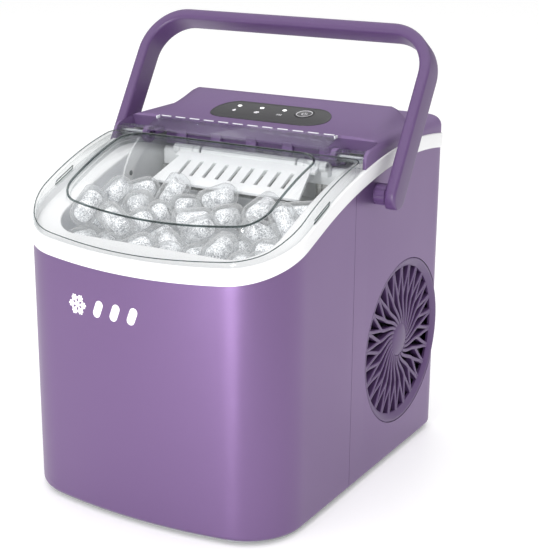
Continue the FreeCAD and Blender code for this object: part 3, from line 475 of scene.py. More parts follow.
# ---- white trim ring and sloping inner shelf ----
# One gloss white ABS moulding: a band round the outside and a sloping shelf that
# frames the ice opening under the lid.
band_height = 11.5 * mm
tank_low, tank_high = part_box("inner_tank")
tank_wall = 2.0 * mm
opening_half = tank_high.x - tank_wall
opening_front = tank_low.y + tank_wall
opening_back = tank_high.y - tank_wall
opening_corner = 28.0 * mm
opening_rear_corner = 4.0 * mm


def opening_outline(grow=0.0, back=opening_back, rear_radius=opening_rear_corner):
    """Rounded front corners and tight rear corners, point for point like the body outline."""
    half = opening_half + grow
    front = opening_front - grow
    back = back + grow
    radius = opening_corner + grow
    right = []
    for step in range(front_steps):
        right.append(((half - radius) * step / front_steps, front))
    for step in range(corner_steps):
        turn = math.pi / 2 * step / corner_steps
        right.append((half - radius + radius * math.sin(turn), front + radius - radius * math.cos(turn)))
    for step in range(side_steps):
        right.append((half, front + radius + (back - rear_radius - front - radius) * step / side_steps))
    for step in range(rear_steps):
        turn = math.pi / 2 * step / rear_steps
        right.append((half - rear_radius + rear_radius * math.cos(turn),
                      back - rear_radius + rear_radius * math.sin(turn)))
    for step in range(back_steps + 1):
        right.append(((half - rear_radius) * (1 - step / back_steps), back))
    return right + [(-x, y) for x, y in reversed(right[1:-1])]


# Gloss white ABS, smooth from the mould.
gloss_white = moulded_plastic("gloss_white_abs", "#E9E9EA", 0.22, 0.6 * mm, 0.01 * mm, coat=0.2)


def trim_ring():
    """Section round the ring: outer band, step down, sloping shelf, rounded inner lip, underside."""
    band = [(2.5, 0.0), (-1.0, 0.0), (-1.5, 0.5), (-1.5, 10.4), (-1.2, 11.2), (-0.5, 11.5),
            (1.5, 11.5), (2.2, 11.1), (2.5, 10.3), (2.7, 7.4), (3.3, 6.4), (4.4, 6.0)]
    shelf = [(1.6, 6.0), (0.6, 5.7), (0.0, 5.0), (0.0, 3.5), (2.0, 3.5)]
    sections = [[(x, y, rim_height(y) + rise * mm) for x, y in body_outline(inset * mm)] for inset,
                rise in band]
    sections += [[(x, y, rim_height(y) + rise * mm) for x, y in opening_outline(grow * mm)] for grow,
                 rise in shelf]
    return skin(sections, capped=False, ring=True)


piece("rim_band", trim_ring(), gloss_white, "root", ["trim_ring"])


# ---- top cover ----
# One purple ABS moulding closes the back of the machine. Its middle rises in a hump for
# the controls, and a round trough in front of the hump lets the lid's flap swing.
shoulder_z = hinge_rim + 27.0 * mm
shoulder_round = 8.0 * mm
hump_half = 97.0 * mm
hump_lip = (hinge_y, shoulder_z)
hump_middle = (hinge_y + 47.0 * mm, hinge_rim + 30.5 * mm)
hump_crest = (hinge_y + 83.6 * mm, hinge_rim + 41.7 * mm)
trough_radius = 18.2 * mm
nose_radius = 8.0 * mm
cover_wall = 2.5 * mm
arc_steps = 12


def smoothstep(low, high, value):
    """Zero up to low, one from high, and a soft rise between."""
    share = min(max((value - low) / (high - low), 0.0), 1.0)
    return share * share * (3.0 - 2.0 * share)


def soft_least(first, second, reach):
    """The smaller of two heights with the corner between them rounded."""
    share = min(max(0.5 + 0.5 * (second - first) / reach, 0.0), 1.0)
    return second + (first - second) * share - reach * share * (1.0 - share)


def hump_height(x, y):
    """Top of the cover without its edge rounding."""
    rising = arc_height(y, hump_lip, hump_middle, hump_crest) if y < hump_crest[0] + 15 * mm else 1.0
    falling = hump_crest[1] - (y - hump_crest[0]) * 1.05
    ridge = soft_least(rising, falling, 9.0 * mm)
    ridge = -soft_least(-ridge, -shoulder_z, 4.0 * mm)
    side = 1.0 - smoothstep(hump_half - 8.0 * mm, hump_half + 5.0 * mm, abs(x))
    return shoulder_z + (ridge - shoulder_z) * side


def edge_distance(x, y):
    """Distance in from the side and rear edges of the plan."""
    side = half_width - abs(x)
    rear = rear_y - y
    if side < rear_corner and rear < rear_corner:
        return rear_corner - math.hypot(rear_corner - side, rear_corner - rear)
    return min(side, rear)


def cover_top(x, y):
    """Top of the cover with its rounded edge."""
    depth = min(max(edge_distance(x, y), 0.0), shoulder_round)
    return hump_height(x, y) - shoulder_round + math.sqrt(shoulder_round ** 2 - (shoulder_round - depth) ** 2)


def nose_top(x, y):
    """Top of the outer ends, which run forward and down to a round nose at the hinge."""
    if y < hinge_y:
        rise = math.sqrt(max(nose_radius ** 2 - (y - hinge_y) ** 2, 0.0))
        return hinge_z + rise - 0.6 * mm * smoothstep(half_width - mm, half_width, abs(x))
    full = cover_top(x, y)
    start = min(hinge_z + nose_radius, full)
    return start + (full - start) * smoothstep(hinge_y, hinge_y + 22 * mm, y)


def cover_section(x):
    """Closed section across the cover at x, always with the same number of points."""
    end = abs(x) > half_width - cover_wall - 0.001 * mm
    side = half_width - abs(x)
    rear = rear_y
    if side < rear_corner:
        rear = rear_y - rear_corner + math.sqrt(rear_corner ** 2 - (rear_corner - side) ** 2)
    front_points = []
    if end:
        for step in range(arc_steps + 1):
            y = hinge_y - nose_radius * math.cos(math.pi / 2 * step / arc_steps)
            front_points.append((x, y, max(nose_top(x, y), rim_height(y) + band_height)))
        start = hinge_y
    else:
        low = rim_height(hinge_y + trough_radius) + band_height
        first = math.asin((low - hinge_z) / trough_radius)
        lip = math.asin((shoulder_z - 1.2 * mm - hinge_z) / trough_radius)
        for step in range(arc_steps + 1):
            turn = first + (lip - first) * step / arc_steps
            front_points.append((x, hinge_y + trough_radius * math.cos(turn),
                                 hinge_z + trough_radius * math.sin(turn)))
        start = front_points[-1][1] + 1.2 * mm
    height = nose_top if end else cover_top
    top_points = []
    flat_end = rear - shoulder_round
    for step in range(44):
        y = start + (flat_end - start) * step / 44
        top_points.append((x, y, height(x, y)))
    for step in range(arc_steps + 1):
        y = flat_end + shoulder_round * math.sin(math.pi / 2 * step / arc_steps)
        top_points.append((x, y, height(x, y)))
    top_points.append((x, rear, rim_height(rear) + band_height))
    under = []
    inner_steps = 30
    for step in range(inner_steps + 1):
        share = step / inner_steps
        if end:
            y = rear + (hinge_y - nose_radius - rear) * share
            under.append((x, y, rim_height(y) + band_height))
        else:
            inner_front = hinge_y + trough_radius + cover_wall
            y = rear - cover_wall + (inner_front - rear + cover_wall) * share
            under.append((x, y, cover_top(x, y) - cover_wall))
    under[-1] = under[-1] if end else (x, under[-1][1], rim_height(under[-1][1]) + band_height)
    under[0] = under[0] if end else (x, rear - cover_wall, rim_height(rear) + band_height)
    return front_points + top_points + under


def cover_stations():
    """Places across the cover, close together where it rounds over at the ends."""
    right = []
    for step in range(13):
        right.append(half_width - rear_corner + rear_corner * math.cos(math.pi / 2 * step / 12))
    inner = right[-1]
    right += [inner * (1 - step / 20) for step in range(1, 21)]
    ends = [x for x in right if x > half_width - cover_wall - 0.01 * mm]
    ends[-1] = half_width - cover_wall
    middle = [half_width - cover_wall - 0.002 * mm] + [x
                                                       for x in right if x < half_width - cover_wall - 0.01 * mm]
    right = ends + middle
    return right + [-x for x in reversed(right[:-1])]


# Satin purple ABS: the same resin as the body with a finer spark finish, so it looks greyer.
satin_purple = moulded_plastic("satin_purple_abs", "#6F5782", 0.5, 0.8 * mm, 0.03 * mm)
cover = piece("rear_cover", skin([cover_section(x) for x in cover_stations()]), satin_purple,
              "root", ["top_cover"])

lug_inner = 80.4 * mm
lug_width = 4.6 * mm
post_count = 5
post_pitch = 32.0 * mm
post_half = 4.5 * mm
post_front = hinge_y + 17.6 * mm
web_front = hinge_y + 20.6 * mm
web_half = 80.0 * mm
knuckle_radius = 6.5 * mm


def hinge_lug(side):
    """Round eye with a web back to the trough wall."""
    x0, x1 = side * lug_inner, side * (lug_inner + lug_width)
    eye = rod(knuckle_radius, (x0, hinge_y, hinge_z), (x1, hinge_y, hinge_z), steps=48)
    bmesh.ops.bevel(eye, geom=[e for e in eye.edges if len(e.link_faces) == 2 and e.calc_face_angle() > 1.0],
                    offset=0.6 * mm, affect="EDGES", segments=2, profile=0.5, material=-1)
    web = block((min(x0, x1), hinge_y + 3 * mm, hinge_z - 1.5 * mm),
                (max(x0, x1), hinge_y + trough_radius + mm, hinge_z + 2.5 * mm), 0.4 * mm)
    return together([eye, web])


piece("hinge_lugs", together([hinge_lug(1), hinge_lug(-1)]), satin_purple, "root")


def trough_sill():
    """Five light posts in front of the web under the trough, whose darker purple is painted shade."""
    posts = []
    for index in range(post_count):
        x = (index - (post_count - 1) / 2) * post_pitch
        posts.append(block((x - post_half, post_front, hinge_rim + 5.0 * mm),
                           (x + post_half, post_front + 4.0 * mm, hinge_z + 2.6 * mm), 0.8 * mm))
    return together(posts)


piece("trough_posts", trough_sill(), satin_purple, "root")


# ---- control panel ----
# A dark grey film-covered ABS inlay, shaped like a stadium, follows the hump. Three
# light pipes and one ringed push button come through it, with white pictograms.
panel_y = hinge_y + 47.0 * mm
panel_half = 52.0 * mm
panel_radius = 18.0 * mm
panel_proud = 0.5 * mm
button_x = 27.0 * mm
button_y = hinge_y + 54.0 * mm
button_tilt = math.radians(11.0)
button_radius = 7.5 * mm
button_gap = 0.35 * mm
light_y = hinge_y + 57.0 * mm
light_places = [-33.0 * mm, -12.5 * mm, 8.0 * mm]
button_out = Vector((0, -math.sin(button_tilt), math.cos(button_tilt)))
button_centre = Vector((button_x, button_y, cover_top(button_x, button_y)))


def stadium(shrink, rise):
    """Outline of the inlay on the hump, moved in by shrink and up by rise."""
    radius = panel_radius - shrink
    points = []
    for side in (1, -1):
        for step in range(25):
            turn = side * (math.pi / 2) * (step / 12 - 1)
            x = side * (panel_half - panel_radius) + radius * math.cos(turn) * side
            y = panel_y + radius * math.sin(turn)
            points.append((x, y))
        for step in range(1, 14):
            x = side * (panel_half - panel_radius) * (1 - step / 7)
            points.append((x, panel_y + side * radius))
    return [(x, y, cover_top(x, y) + rise) for x, y in points]


def panel_inlay():
    sections = [stadium(0.0, -1.0 * mm), stadium(0.0, panel_proud - 0.3 * mm),
                stadium(0.1 * mm, panel_proud - 0.1 * mm),
                stadium(0.3 * mm, panel_proud)]
    sections += [stadium(panel_radius * share, panel_proud) for share in (0.2, 0.4, 0.6, 0.8, 1.0)]
    return skin(sections)


def button_bore():
    return rod(button_radius + button_gap, button_centre - button_out * 6 * mm,
               button_centre + button_out * 4 * mm,
               steps=64)


# Dark grey ABS under a satin film: soft broad reflections.
panel_grey = moulded_plastic("satin_dark_grey_film", "#333335", 0.38, 0.4 * mm, 0.01 * mm)
inlay = piece("control_inlay", panel_inlay(), panel_grey, "root", ["control_panel"])
carve(inlay, [button_bore()])
carve(cover, [button_bore()])

# Black ABS push button, a touch glossier than the film round it.
button_black = moulded_plastic("gloss_black_abs", "#3C3C3E", 0.3, 0.4 * mm, 0.01 * mm, coat=0.3)


def push_button():
    """Cap with a dished top and a stem to the switch."""
    frame_turn = button_out.to_track_quat("Z", "Y").to_matrix().to_4x4()
    profile = [(0.0, 0.35), (3.0, 0.4), (5.5, 0.55), (6.9, 0.85), (7.25, 0.9), (7.45, 0.75), (7.5, 0.4),
               (7.5, -3.2), (2.0, -3.2), (2.0, -6.0), (0.0, -6.0)]
    bm = bmesh.new()
    verts = [bm.verts.new((radius * mm, 0, z * mm)) for radius, z in profile]
    edges = [bm.edges.new(pair) for pair in zip(verts, verts[1:])]
    bmesh.ops.spin(bm, geom=verts + edges, cent=(0, 0, 0), axis=(0, 0, 1), angle=math.tau, steps=48,
                   use_merge=True)
    bmesh.ops.remove_doubles(bm, verts=bm.verts, dist=0.001 * mm)
    bmesh.ops.transform(bm, matrix=Matrix.Translation(button_centre) @ frame_turn, verts=bm.verts)
    return bm


piece("on_off_button", push_button(), button_black, "button", ["power_button"])


def on_panel(x, y, rise):
    return (x, y, cover_top(x, y) + panel_proud + rise)


def panel_ink(outlines, rise=0.06 * mm):
    """Pictograms printed on the inlay."""
    return together([skin([[on_panel(x, y, lift) for x, y in outline] for lift in (-0.1 * mm, rise)])
                     for outline in outlines])


icon_y = light_y - 9.5 * mm
drop = []
for step in range(24):
    turn = math.tau * step / 24
    swell = 1.0 - 0.45 * max(math.sin(turn), 0.0) ** 2
    drop.append((light_places[0] + 1.5 * mm * math.cos(turn) * swell,
                 icon_y - 0.4 * mm + (1.5 + 1.1 * max(math.sin(turn), 0.0)) * mm * math.sin(turn)))
icons = [drop] + snowflake(light_places[1], icon_y, 2.2 * mm, 0.45 * mm)
for shift in (-1.6 * mm, 0.0, 1.6 * mm):
    bar_x = light_places[2] + shift
    icons.append(stroke((bar_x, icon_y - 1.2 * mm), (bar_x, icon_y + 1.2 * mm), 0.6 * mm))
piece("panel_icons", panel_ink(icons), white_ink, "root")

ring_radius = 6.4 * mm
ring_sections = []
button_turn = Matrix.Translation(button_centre) @ button_out.to_track_quat("Z", "Y").to_matrix().to_4x4()


def on_button(radius, turn, rise):
    return button_turn @ Vector((radius * math.cos(turn), radius * math.sin(turn), rise))


for radius, rise in ((ring_radius, 0.6), (ring_radius, 0.85), (ring_radius - 0.4 * mm, 0.8),
                     (ring_radius - 0.4 * mm, 0.55)):
    ring_sections.append([on_button(radius, math.tau * step / 64, rise * mm) for step in range(64)])


def power_sign():
    """Open ring with a bar, the common standby pictogram."""
    bar_turns = [math.radians(130.0 + 280.0 * step / 24) for step in range(25)]
    rows = []
    for turn in bar_turns:
        rows.append([on_button(2.4 * mm, turn, 0.3 * mm), on_button(2.4 * mm, turn, 0.47 * mm),
                     on_button(1.9 * mm, turn, 0.47 * mm), on_button(1.9 * mm, turn, 0.3 * mm)])
    bar = []
    for z in (0.3 * mm, 0.47 * mm):
        bar.append([button_turn @ Vector((x * mm, y * mm, z)) for x, y in
                    ((-0.25, 0.6), (0.25, 0.6), (0.25, 2.9), (-0.25, 2.9))])
    return together([skin(rows), skin(bar), skin(ring_sections, capped=False, ring=True)])


piece("button_ring_mark", power_sign(), white_ink, "button")

# Frosted white light pipes, lit from below.
lamp_white, lamp_tree = new_material("lit_frosted_pc")
lamp_coords = add_node(lamp_tree, "ShaderNodeTexCoord")
lamp_noise = add_node(lamp_tree, "ShaderNodeTexNoise", {"Scale": 1.0 / mm},
                      {"Vector": lamp_coords.outputs["Object"]})
lamp_rough = add_node(lamp_tree, "ShaderNodeMapRange", {"To Min": 0.3, "To Max": 0.45},
                      {"Value": lamp_noise.outputs["Fac"]})
lamp_shader = add_node(lamp_tree, "ShaderNodeBsdfPrincipled",
                       {"Base Color": linear("#FFFFFF"), "Emission Color": linear("#FFFFFF"),
                        "Emission Strength": 1.2},
                       {"Roughness": lamp_rough.outputs["Result"]})
add_node(lamp_tree, "ShaderNodeOutputMaterial", links={"Surface": lamp_shader.outputs["BSDF"]})


def light_pipe(x):
    """Round pipe with a domed top."""
    base = Vector((x, light_y, cover_top(x, light_y)))
    bm = bmesh.new()
    profile = [(0.0, panel_proud + 0.35 * mm), (1.0 * mm, panel_proud + 0.27 * mm),
               (1.7 * mm, panel_proud + 0.05 * mm),
               (2.0 * mm, panel_proud - 0.2 * mm), (2.0 * mm, -4.0 * mm), (0.0, -4.0 * mm)]
    verts = [bm.verts.new((radius, 0, z)) for radius, z in profile]
    edges = [bm.edges.new(pair) for pair in zip(verts, verts[1:])]
    bmesh.ops.spin(bm, geom=verts + edges, cent=(0, 0, 0), axis=(0, 0, 1), angle=math.tau, steps=24,
                   use_merge=True)
    bmesh.ops.remove_doubles(bm, verts=bm.verts, dist=0.001 * mm)
    bmesh.ops.translate(bm, vec=base, verts=bm.verts)
    return bm


piece("status_light_pipes", together([light_pipe(x) for x in light_places]), lamp_white, "root",
      ["status_lights"])


# ---- clear lid ----
# One injection moulded SAN part: a sloping skirt that stands on the band, a raised window
# with rounded edges, and a flap that reaches back over the hinge.
lid_wall = 2.2 * mm
lid_inset = 0.5 * mm
lid_back = hinge_y - 9.0 * mm
lid_front = (front_y - 1.5 * mm, front_rim + 13.0 * mm)
lid_middle = (hinge_y - 81.75 * mm, front_rim + 53.1 * mm)
lid_rear = (hinge_y - 10.0 * mm, hinge_rim + 22.7 * mm)
window_inset = 27.0 * mm
window_back = hinge_y - 25.0 * mm
window_rise = 4.5 * mm
flap_half = 79.0 * mm
flap_end = hinge_y + 10.0 * mm
flap_top = hinge_z + 14.0 * mm
notch_start = -81.0 * mm
notch_step = 7.0 * mm
knuckle_inner = 85.5 * mm
knuckle_outer = 107.5 * mm


def lid_line(y):
    """Side profile of the lid's top."""
    return arc_height(y, lid_front, lid_middle, lid_rear)


def ledge_line(y):
    """Side profile of the ledge round the raised window."""
    return lid_line(y) - window_rise * smoothstep(lid_front[0], lid_front[0] + 26 * mm, y)


def lid_loop(inset, height, back=lid_back, corner=8.0 * mm):
    return [(x, y, height(y)) for x, y in body_outline(inset, back, corner + inset)]


def skirt_foot(y):
    """Foot of the skirt, just over the band; along the hinge side the skirt runs out."""
    foot = rim_height(y) + band_height + 0.4 * mm
    return foot + (ledge_line(y) - 3.4 * mm - foot) * smoothstep(lid_back - 9.0 * mm, lid_back - 2.0 * mm, y)


def lid_shell():
    """Outer skin from the foot of the skirt to the window's middle, and the inner skin back."""
    edge = 3.0 * mm
    window_corner = 18.0 * mm
    sections = []
    for offset, side in ((0.0, 1), (lid_wall, -1)):
        rows = [lid_loop(lid_inset + offset, skirt_foot)]
        for step in range(7):
            turn = math.pi / 2 * step / 6
            inset = lid_inset + edge * (1 - math.cos(turn)) + offset * math.cos(turn)
            lower = edge * (1 - math.sin(turn)) + offset * math.sin(turn)
            rows.append(lid_loop(
                inset, lambda y, lower=lower: max(ledge_line(y) - lower, skirt_foot(y) + 0.1 * mm)))
        rows.append(lid_loop(13.0 * mm, lambda y: max(ledge_line(y) - offset, skirt_foot(y) + 0.1 * mm)))
        foot = window_inset - 1.5 * mm + offset
        window_rows = [(foot - 1.5 * mm, 0.0), (foot - 0.4 * mm, 0.12), (foot, 0.35), (foot + 0.2 * mm, 0.7),
                       (foot + 0.8 * mm, 0.92), (foot + 2.0 * mm, 1.0)]
        for inset, share in window_rows:
            rows.append(lid_loop(
                inset, lambda y, share=share: ledge_line(y) + (lid_line(y) - ledge_line(y)) * share - offset,
                back=window_back + window_inset, corner=window_corner))
        rim_row = rows[-1]
        middle = Vector((0.0, (front_y + window_inset + window_back) / 2))
        for share in (0.75, 0.5, 0.25, 0.0):
            row = []
            for x, y, z in rim_row:
                spot = middle + (Vector((x, y)) - middle) * share
                row.append((spot.x, spot.y, lid_line(spot.y) - offset))
            rows.append(row)
        sections += rows[::side]
    return skin(sections, capped=False, ring=True)


def clear_plastic(name, tint, edge_tint, roughness, haze):
    """Clear moulded SAN: nearly invisible face on, mirror-like and grey-green at its turned edges."""
    material, tree = new_material(name)
    coords = add_node(tree, "ShaderNodeTexCoord")
    ripple = add_node(tree, "ShaderNodeTexNoise", {"Scale": 30.0, "Detail": 1.0},
                      {"Vector": coords.outputs["Object"]})
    bump = add_node(tree, "ShaderNodeBump", {"Strength": 0.12, "Distance": 0.4 * mm},
                    {"Height": ripple.outputs["Fac"]})
    facing = add_node(tree, "ShaderNodeLayerWeight", {"Blend": 0.5}, {"Normal": bump.outputs["Normal"]})
    mirror = add_node(tree, "ShaderNodeMath", {1: 5.0}, {0: facing.outputs["Facing"]}, operation="POWER")
    stain = add_node(tree, "ShaderNodeMath", {1: 4.0}, {0: facing.outputs["Facing"]}, operation="POWER")
    pass_tint = add_node(tree, "ShaderNodeMix", {6: linear(tint), 7: linear(edge_tint)},
                         {"Factor": stain.outputs["Value"]}, data_type="RGBA")
    clear = add_node(tree, "ShaderNodeBsdfTransparent", links={"Color": pass_tint.outputs[2]})
    face = add_node(tree, "ShaderNodeBsdfPrincipled",
                    {"Base Color": linear("#EEF3F3"), "Roughness": roughness, "Metallic": 1.0},
                    {"Normal": bump.outputs["Normal"]})
    share = add_node(tree, "ShaderNodeMapRange", {"To Min": haze, "To Max": 0.85},
                     {"Value": mirror.outputs["Value"]})
    mix = add_node(tree, "ShaderNodeMixShader", links={0: share.outputs["Result"], 1: clear.outputs["BSDF"],
                                                       2: face.outputs["BSDF"]})
    add_node(tree, "ShaderNodeOutputMaterial", links={"Surface": mix.outputs["Shader"]})
    return material


clear_san = clear_plastic("clear_moulded_san", "#FCFCFC", "#BFC7C9", 0.08, 0.02)
piece("lid_window", lid_shell(), clear_san, "lid", ["lid"])


def bead(run, radius, steps=8):
    """A thin round bar along a closed run of points."""
    sections = []
    for index, point in enumerate(run):
        along = (Vector(run[(index + 1) % len(run)]) - Vector(run[index - 1])).normalized()
        side = along.cross(Vector((0, 0, 1))).normalized()
        up = side.cross(along)
        sections.append([Vector(point) + radius * (math.cos(math.tau * step / steps) * side +
                                                   math.sin(math.tau * step / steps) * up)
                                                   for step in range(steps)])
    return skin(sections, capped=False, ring=True)


def notch_run(side):
    """Closed long loop round the finger notch in the skirt."""
    x = side * (half_width - lid_inset + 0.1 * mm)
    stations = [notch_start + notch_step * step for step in range(4)]
    low = [(x, y, skirt_foot(y) + 0.6 * mm) for y in stations]
    top = [(x, y + 1.0 * mm, z + 2.4 * mm) for x, y, z in reversed(low)]
    return low + top


# The same resin seen through its thick turned edges, where it looks dark grey-green.
edge_san = clear_plastic("thick_edge_of_clear_san", "#8C9A9B", "#2F3B3D", 0.1, 0.12)
window_edge = lid_loop(window_inset - 0.9 * mm, lambda y: lid_line(y) + 0.1 * mm,
                       back=window_back + window_inset,
                       corner=18.0 * mm)
shoulder_edge = lid_loop(lid_inset + 1.0 * mm, lambda y: ledge_line(y) - 0.7 * mm)
beads = [bead(window_edge, 0.85 * mm), bead(shoulder_edge, 0.4 * mm)]
beads += [bead(notch_run(side), 0.45 * mm) for side in (-1, 1)]
piece("lid_window_bead", together(beads), edge_san, "lid")


def lid_flap():
    """Sloping plate behind the window, with stiffening ribs under its rear edge."""
    half, end, end_z = flap_half, flap_end, flap_top
    start = lid_back - 1.0 * mm
    sections = []
    for x in (-half, -half + 0.8 * mm, half - 0.8 * mm, half):
        thin = 0.4 * mm if abs(x) == half else 0.0
        sections.append([(x, start, lid_line(start) - thin), (x, end - 0.8 * mm, end_z - thin),
                         (x, end, end_z - 0.8 * mm), (x, end, end_z - lid_wall + thin),
                         (x, start, lid_line(start) - lid_wall + thin)])
    parts = [skin(sections)]
    for index in range(14):
        x = -half + 6.0 * mm + index * (2 * half - 12.0 * mm) / 13
        parts.append(block((x - 4.0 * mm, end - 1.2 * mm, end_z - 4.6 * mm),
                           (x + 4.0 * mm, end - 0.2 * mm, end_z - 1.4 * mm), 0.3 * mm))
    for side in (-1, 1):
        parts.append(block((side * half - 1.0 * mm, start, hinge_z + 3.6 * mm),
                           (side * half + 1.0 * mm, end - mm, lid_line(start) - 1.5 * mm), 0.4 * mm))
    return together(parts)


piece("lid_flap", lid_flap(), clear_san, "lid")


def flap_dashes():
    """Short rubbing ribs moulded along the rear edge of the flap, and outlines at its ends."""
    half, end, top = flap_half, flap_end, flap_top
    dashes = []
    for index in range(12):
        x = -half + 7.0 * mm + index * (2 * half - 14.0 * mm) / 11
        dashes.append(block((x - 4.4 * mm, end - 1.1 * mm, top - 0.5 * mm),
                            (x + 4.4 * mm, end - 0.1 * mm, top + 0.25 * mm), 0.2 * mm))
    for side in (-1, 1):
        x0, x1 = sorted((side * half, side * (half - 0.8 * mm)))
        dashes.append(block((x0, end - 5.0 * mm, top - 2.2 * mm), (x1, end, top + 0.1 * mm), 0.2 * mm))
    return together(dashes)


# Milky white satin on the flap's rear-edge ribs and end outlines: painted highlight along the flap's upper edge.
flap_rib_highlight = moulded_plastic("clear_san_painted_highlight", "#DEDDE4", 0.5, 0.5 * mm, 0.02 * mm)
piece("lid_flap_ribs", flap_dashes(), flap_rib_highlight, "lid")


def lid_knuckle(side):
    """Hollow hinge barrel with an arm forward to the skirt."""
    inner, outer = knuckle_inner, knuckle_outer
    bm = bmesh.new()
    profile = [(2.6, inner), (5.9, inner), (6.5, inner + 0.6 * mm), (6.5, outer - 0.6 * mm), (5.9, outer),
               (2.6, outer)]
    verts = [bm.verts.new((side * x, 0, radius * mm)) for radius, x in profile]
    edges = [bm.edges.new(pair) for pair in zip(verts, verts[1:] + verts[:1])]
    bmesh.ops.spin(bm, geom=verts + edges, cent=(0, 0, 0), axis=(1, 0, 0), angle=math.tau, steps=40,
                   use_merge=True)
    bmesh.ops.translate(bm, vec=(0, hinge_y, hinge_z), verts=bm.verts)
    x0, x1 = sorted((side * inner, side * outer))
    arm = block((x0, lid_back - 4.0 * mm, hinge_z + 2.0 * mm), (x1, hinge_y, hinge_z + 6.2 * mm), 0.8 * mm)
    return together([bm, arm])


piece("lid_knuckles", together([lid_knuckle(1), lid_knuckle(-1)]), clear_san, "lid")


# ---- carry handle ----
# A purple ABS bail of flat strap section with rounded edges, pivoting on a steel pin and a
# toothed spacer each side.
hub_low, hub_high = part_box("handle_hub_right")
pivot = Vector((0.0, (hub_low.y + hub_high.y) / 2, (hub_low.z + hub_high.z) / 2))
handle_reach = 131.0 * mm
handle_thick = 9.0 * mm
handle_wide = 21.0 * mm
handle_corner = 38.0 * mm
handle_lean = math.radians(32.0)
handle_outer = 129.5 * mm
strap_round = 2.8 * mm
pin_bore = 4.05 * mm
pin_cover = 2.0 * mm
hub_reach = 8.0 * mm
hub_teeth = 8
notch_depth = 1.3 * mm


def strap_section(middle, outward, half_wide):
    """Rounded rectangle across the strap, square to its run."""
    points = []
    half_thick = handle_thick / 2
    edge = min(strap_round, half_wide * 0.9)
    for quarter in range(4):
        sign_out = (1, -1, -1, 1)[quarter]
        sign_wide = (1, 1, -1, -1)[quarter]
        for step in range(6):
            turn = math.pi / 2 * (quarter + step / 5)
            out = sign_out * (half_thick - edge) + edge * math.cos(turn)
            wide = sign_wide * (half_wide - edge) + edge * math.sin(turn)
            points.append(Vector(middle) + Vector(outward) * out + Vector((0, wide, 0)))
    return points


def handle_strap():
    """Sections up one arm, over the top and down the other, then leaned back about the pivot."""
    mid_x = handle_outer - handle_thick / 2
    mid_top = handle_reach - handle_thick / 2
    bend = handle_corner - handle_thick / 2
    end = handle_wide / 2
    right = []
    for step in range(15):
        angle = math.pi / 2 * step / 14
        z = -end * math.cos(angle)
        half_wide = max(math.sqrt(max(end ** 2 - z ** 2, 0.0)), 1.0 * mm)
        right.append(((mid_x, 0, z), (1, 0, 0), half_wide))
    for step in range(1, 9):
        right.append(((mid_x, 0, (mid_top - bend) * step / 8), (1, 0, 0), end))
    for step in range(1, 17):
        turn = math.pi / 2 * step / 16
        out = (math.cos(turn), 0, math.sin(turn))
        right.append(((mid_x - bend + bend * out[0], 0, mid_top - bend + bend * out[2]), out, end))
    for step in range(1, 9):
        right.append((((mid_x - bend) * (1 - step / 8), 0, mid_top), (0, 0, 1), end))
    left = [((-middle[0], 0, middle[2]), (-out[0], 0, out[2]), wide) for middle, out,
            wide in reversed(right[:-1])]
    bm = skin([strap_section(*station) for station in right + left])
    bmesh.ops.rotate(bm, verts=bm.verts, cent=(0, 0, 0), matrix=Matrix.Rotation(-handle_lean, 3, "X"))
    bmesh.ops.translate(bm, verts=bm.verts, vec=pivot)
    return bm


# Deep purple ABS, darker than the body and satin all over, for the handle, spacers and fan guard. On the web
# under the trough the same darker purple is painted shade.
deep_purple = moulded_plastic("satin_deep_purple_abs", "#583F6B", 0.42, 0.7 * mm, 0.02 * mm)
# The web under the trough is given the darker purple as painted shade.
piece("trough_web_painted_shade", block((-web_half, web_front, hinge_rim + 4.5 * mm),
                          (web_half, web_front + 3 * mm, hinge_z + 3.0 * mm), 0.5 * mm),
      deep_purple, "root")
handle = piece("bail_handle", handle_strap(), deep_purple, "handle", ["carry_handle"])
bore_end = handle_outer - pin_cover
carve(handle, [rod(pin_bore, (side * (handle_outer - handle_thick - mm), pivot.y, pivot.z),
                   (side * bore_end, pivot.y, pivot.z), steps=32) for side in (-1, 1)])


def toothed_hub(side):
    """Spacer with eight rounded notches, chamfered at its outer edge."""
    inner, outer = half_width - 0.3 * mm, hub_high.x
    sections = []
    for x, shrink in ((inner, 0.0), (outer - 0.6 * mm, 0.0), (outer, 0.6 * mm)):
        ring = []
        for step in range(96):
            turn = math.tau * step / 96
            notch = max(math.cos(hub_teeth * turn), 0.0) ** 2
            reach = hub_reach - (notch_depth * notch if x > inner + mm else 0.0) - shrink
            ring.append((side * x, pivot.y + reach * math.cos(turn), pivot.z + reach * math.sin(turn)))
        sections.append(ring)
    return skin(sections)


for side, name in ((1, "right"), (-1, "left")):
    piece("spacer_" + name, toothed_hub(side), deep_purple, "root", ["handle_hub_" + name])


# ---- hinge pins, handle pins and screws ----
# Steel rods and screws keep their CAD shapes. The lid's pins show beside its knuckles, and
# the handle's pins run from inside the shell into the arms.
def worked_metal(name, color, roughness, line_width, along):
    """Drawn or rolled metal: fine lines along its length break up the reflection."""
    material, tree = new_material(name)
    coords = add_node(tree, "ShaderNodeTexCoord")
    stretch = [1.0 / line_width] * 3
    stretch["XYZ".index(along)] /= 30.0
    mapping = add_node(tree, "ShaderNodeMapping", {"Scale": stretch}, {"Vector": coords.outputs["Object"]})
    lines = add_node(tree, "ShaderNodeTexNoise", {"Scale": 1.0, "Detail": 3.0},
                     {"Vector": mapping.outputs["Vector"]})
    gloss = add_node(tree, "ShaderNodeMapRange", {"To Min": roughness - 0.06, "To Max": roughness + 0.1},
                     {"Value": lines.outputs["Fac"]})
    bump = add_node(tree, "ShaderNodeBump", {"Strength": 0.3, "Distance": 0.01 * mm},
                    {"Height": lines.outputs["Fac"]})
    shader = add_node(tree, "ShaderNodeBsdfPrincipled", {"Base Color": linear(color), "Metallic": 1.0},
                      {"Roughness": gloss.outputs["Result"], "Normal": bump.outputs["Normal"]})
    add_node(tree, "ShaderNodeOutputMaterial", links={"Surface": shader.outputs["BSDF"]})
    return material


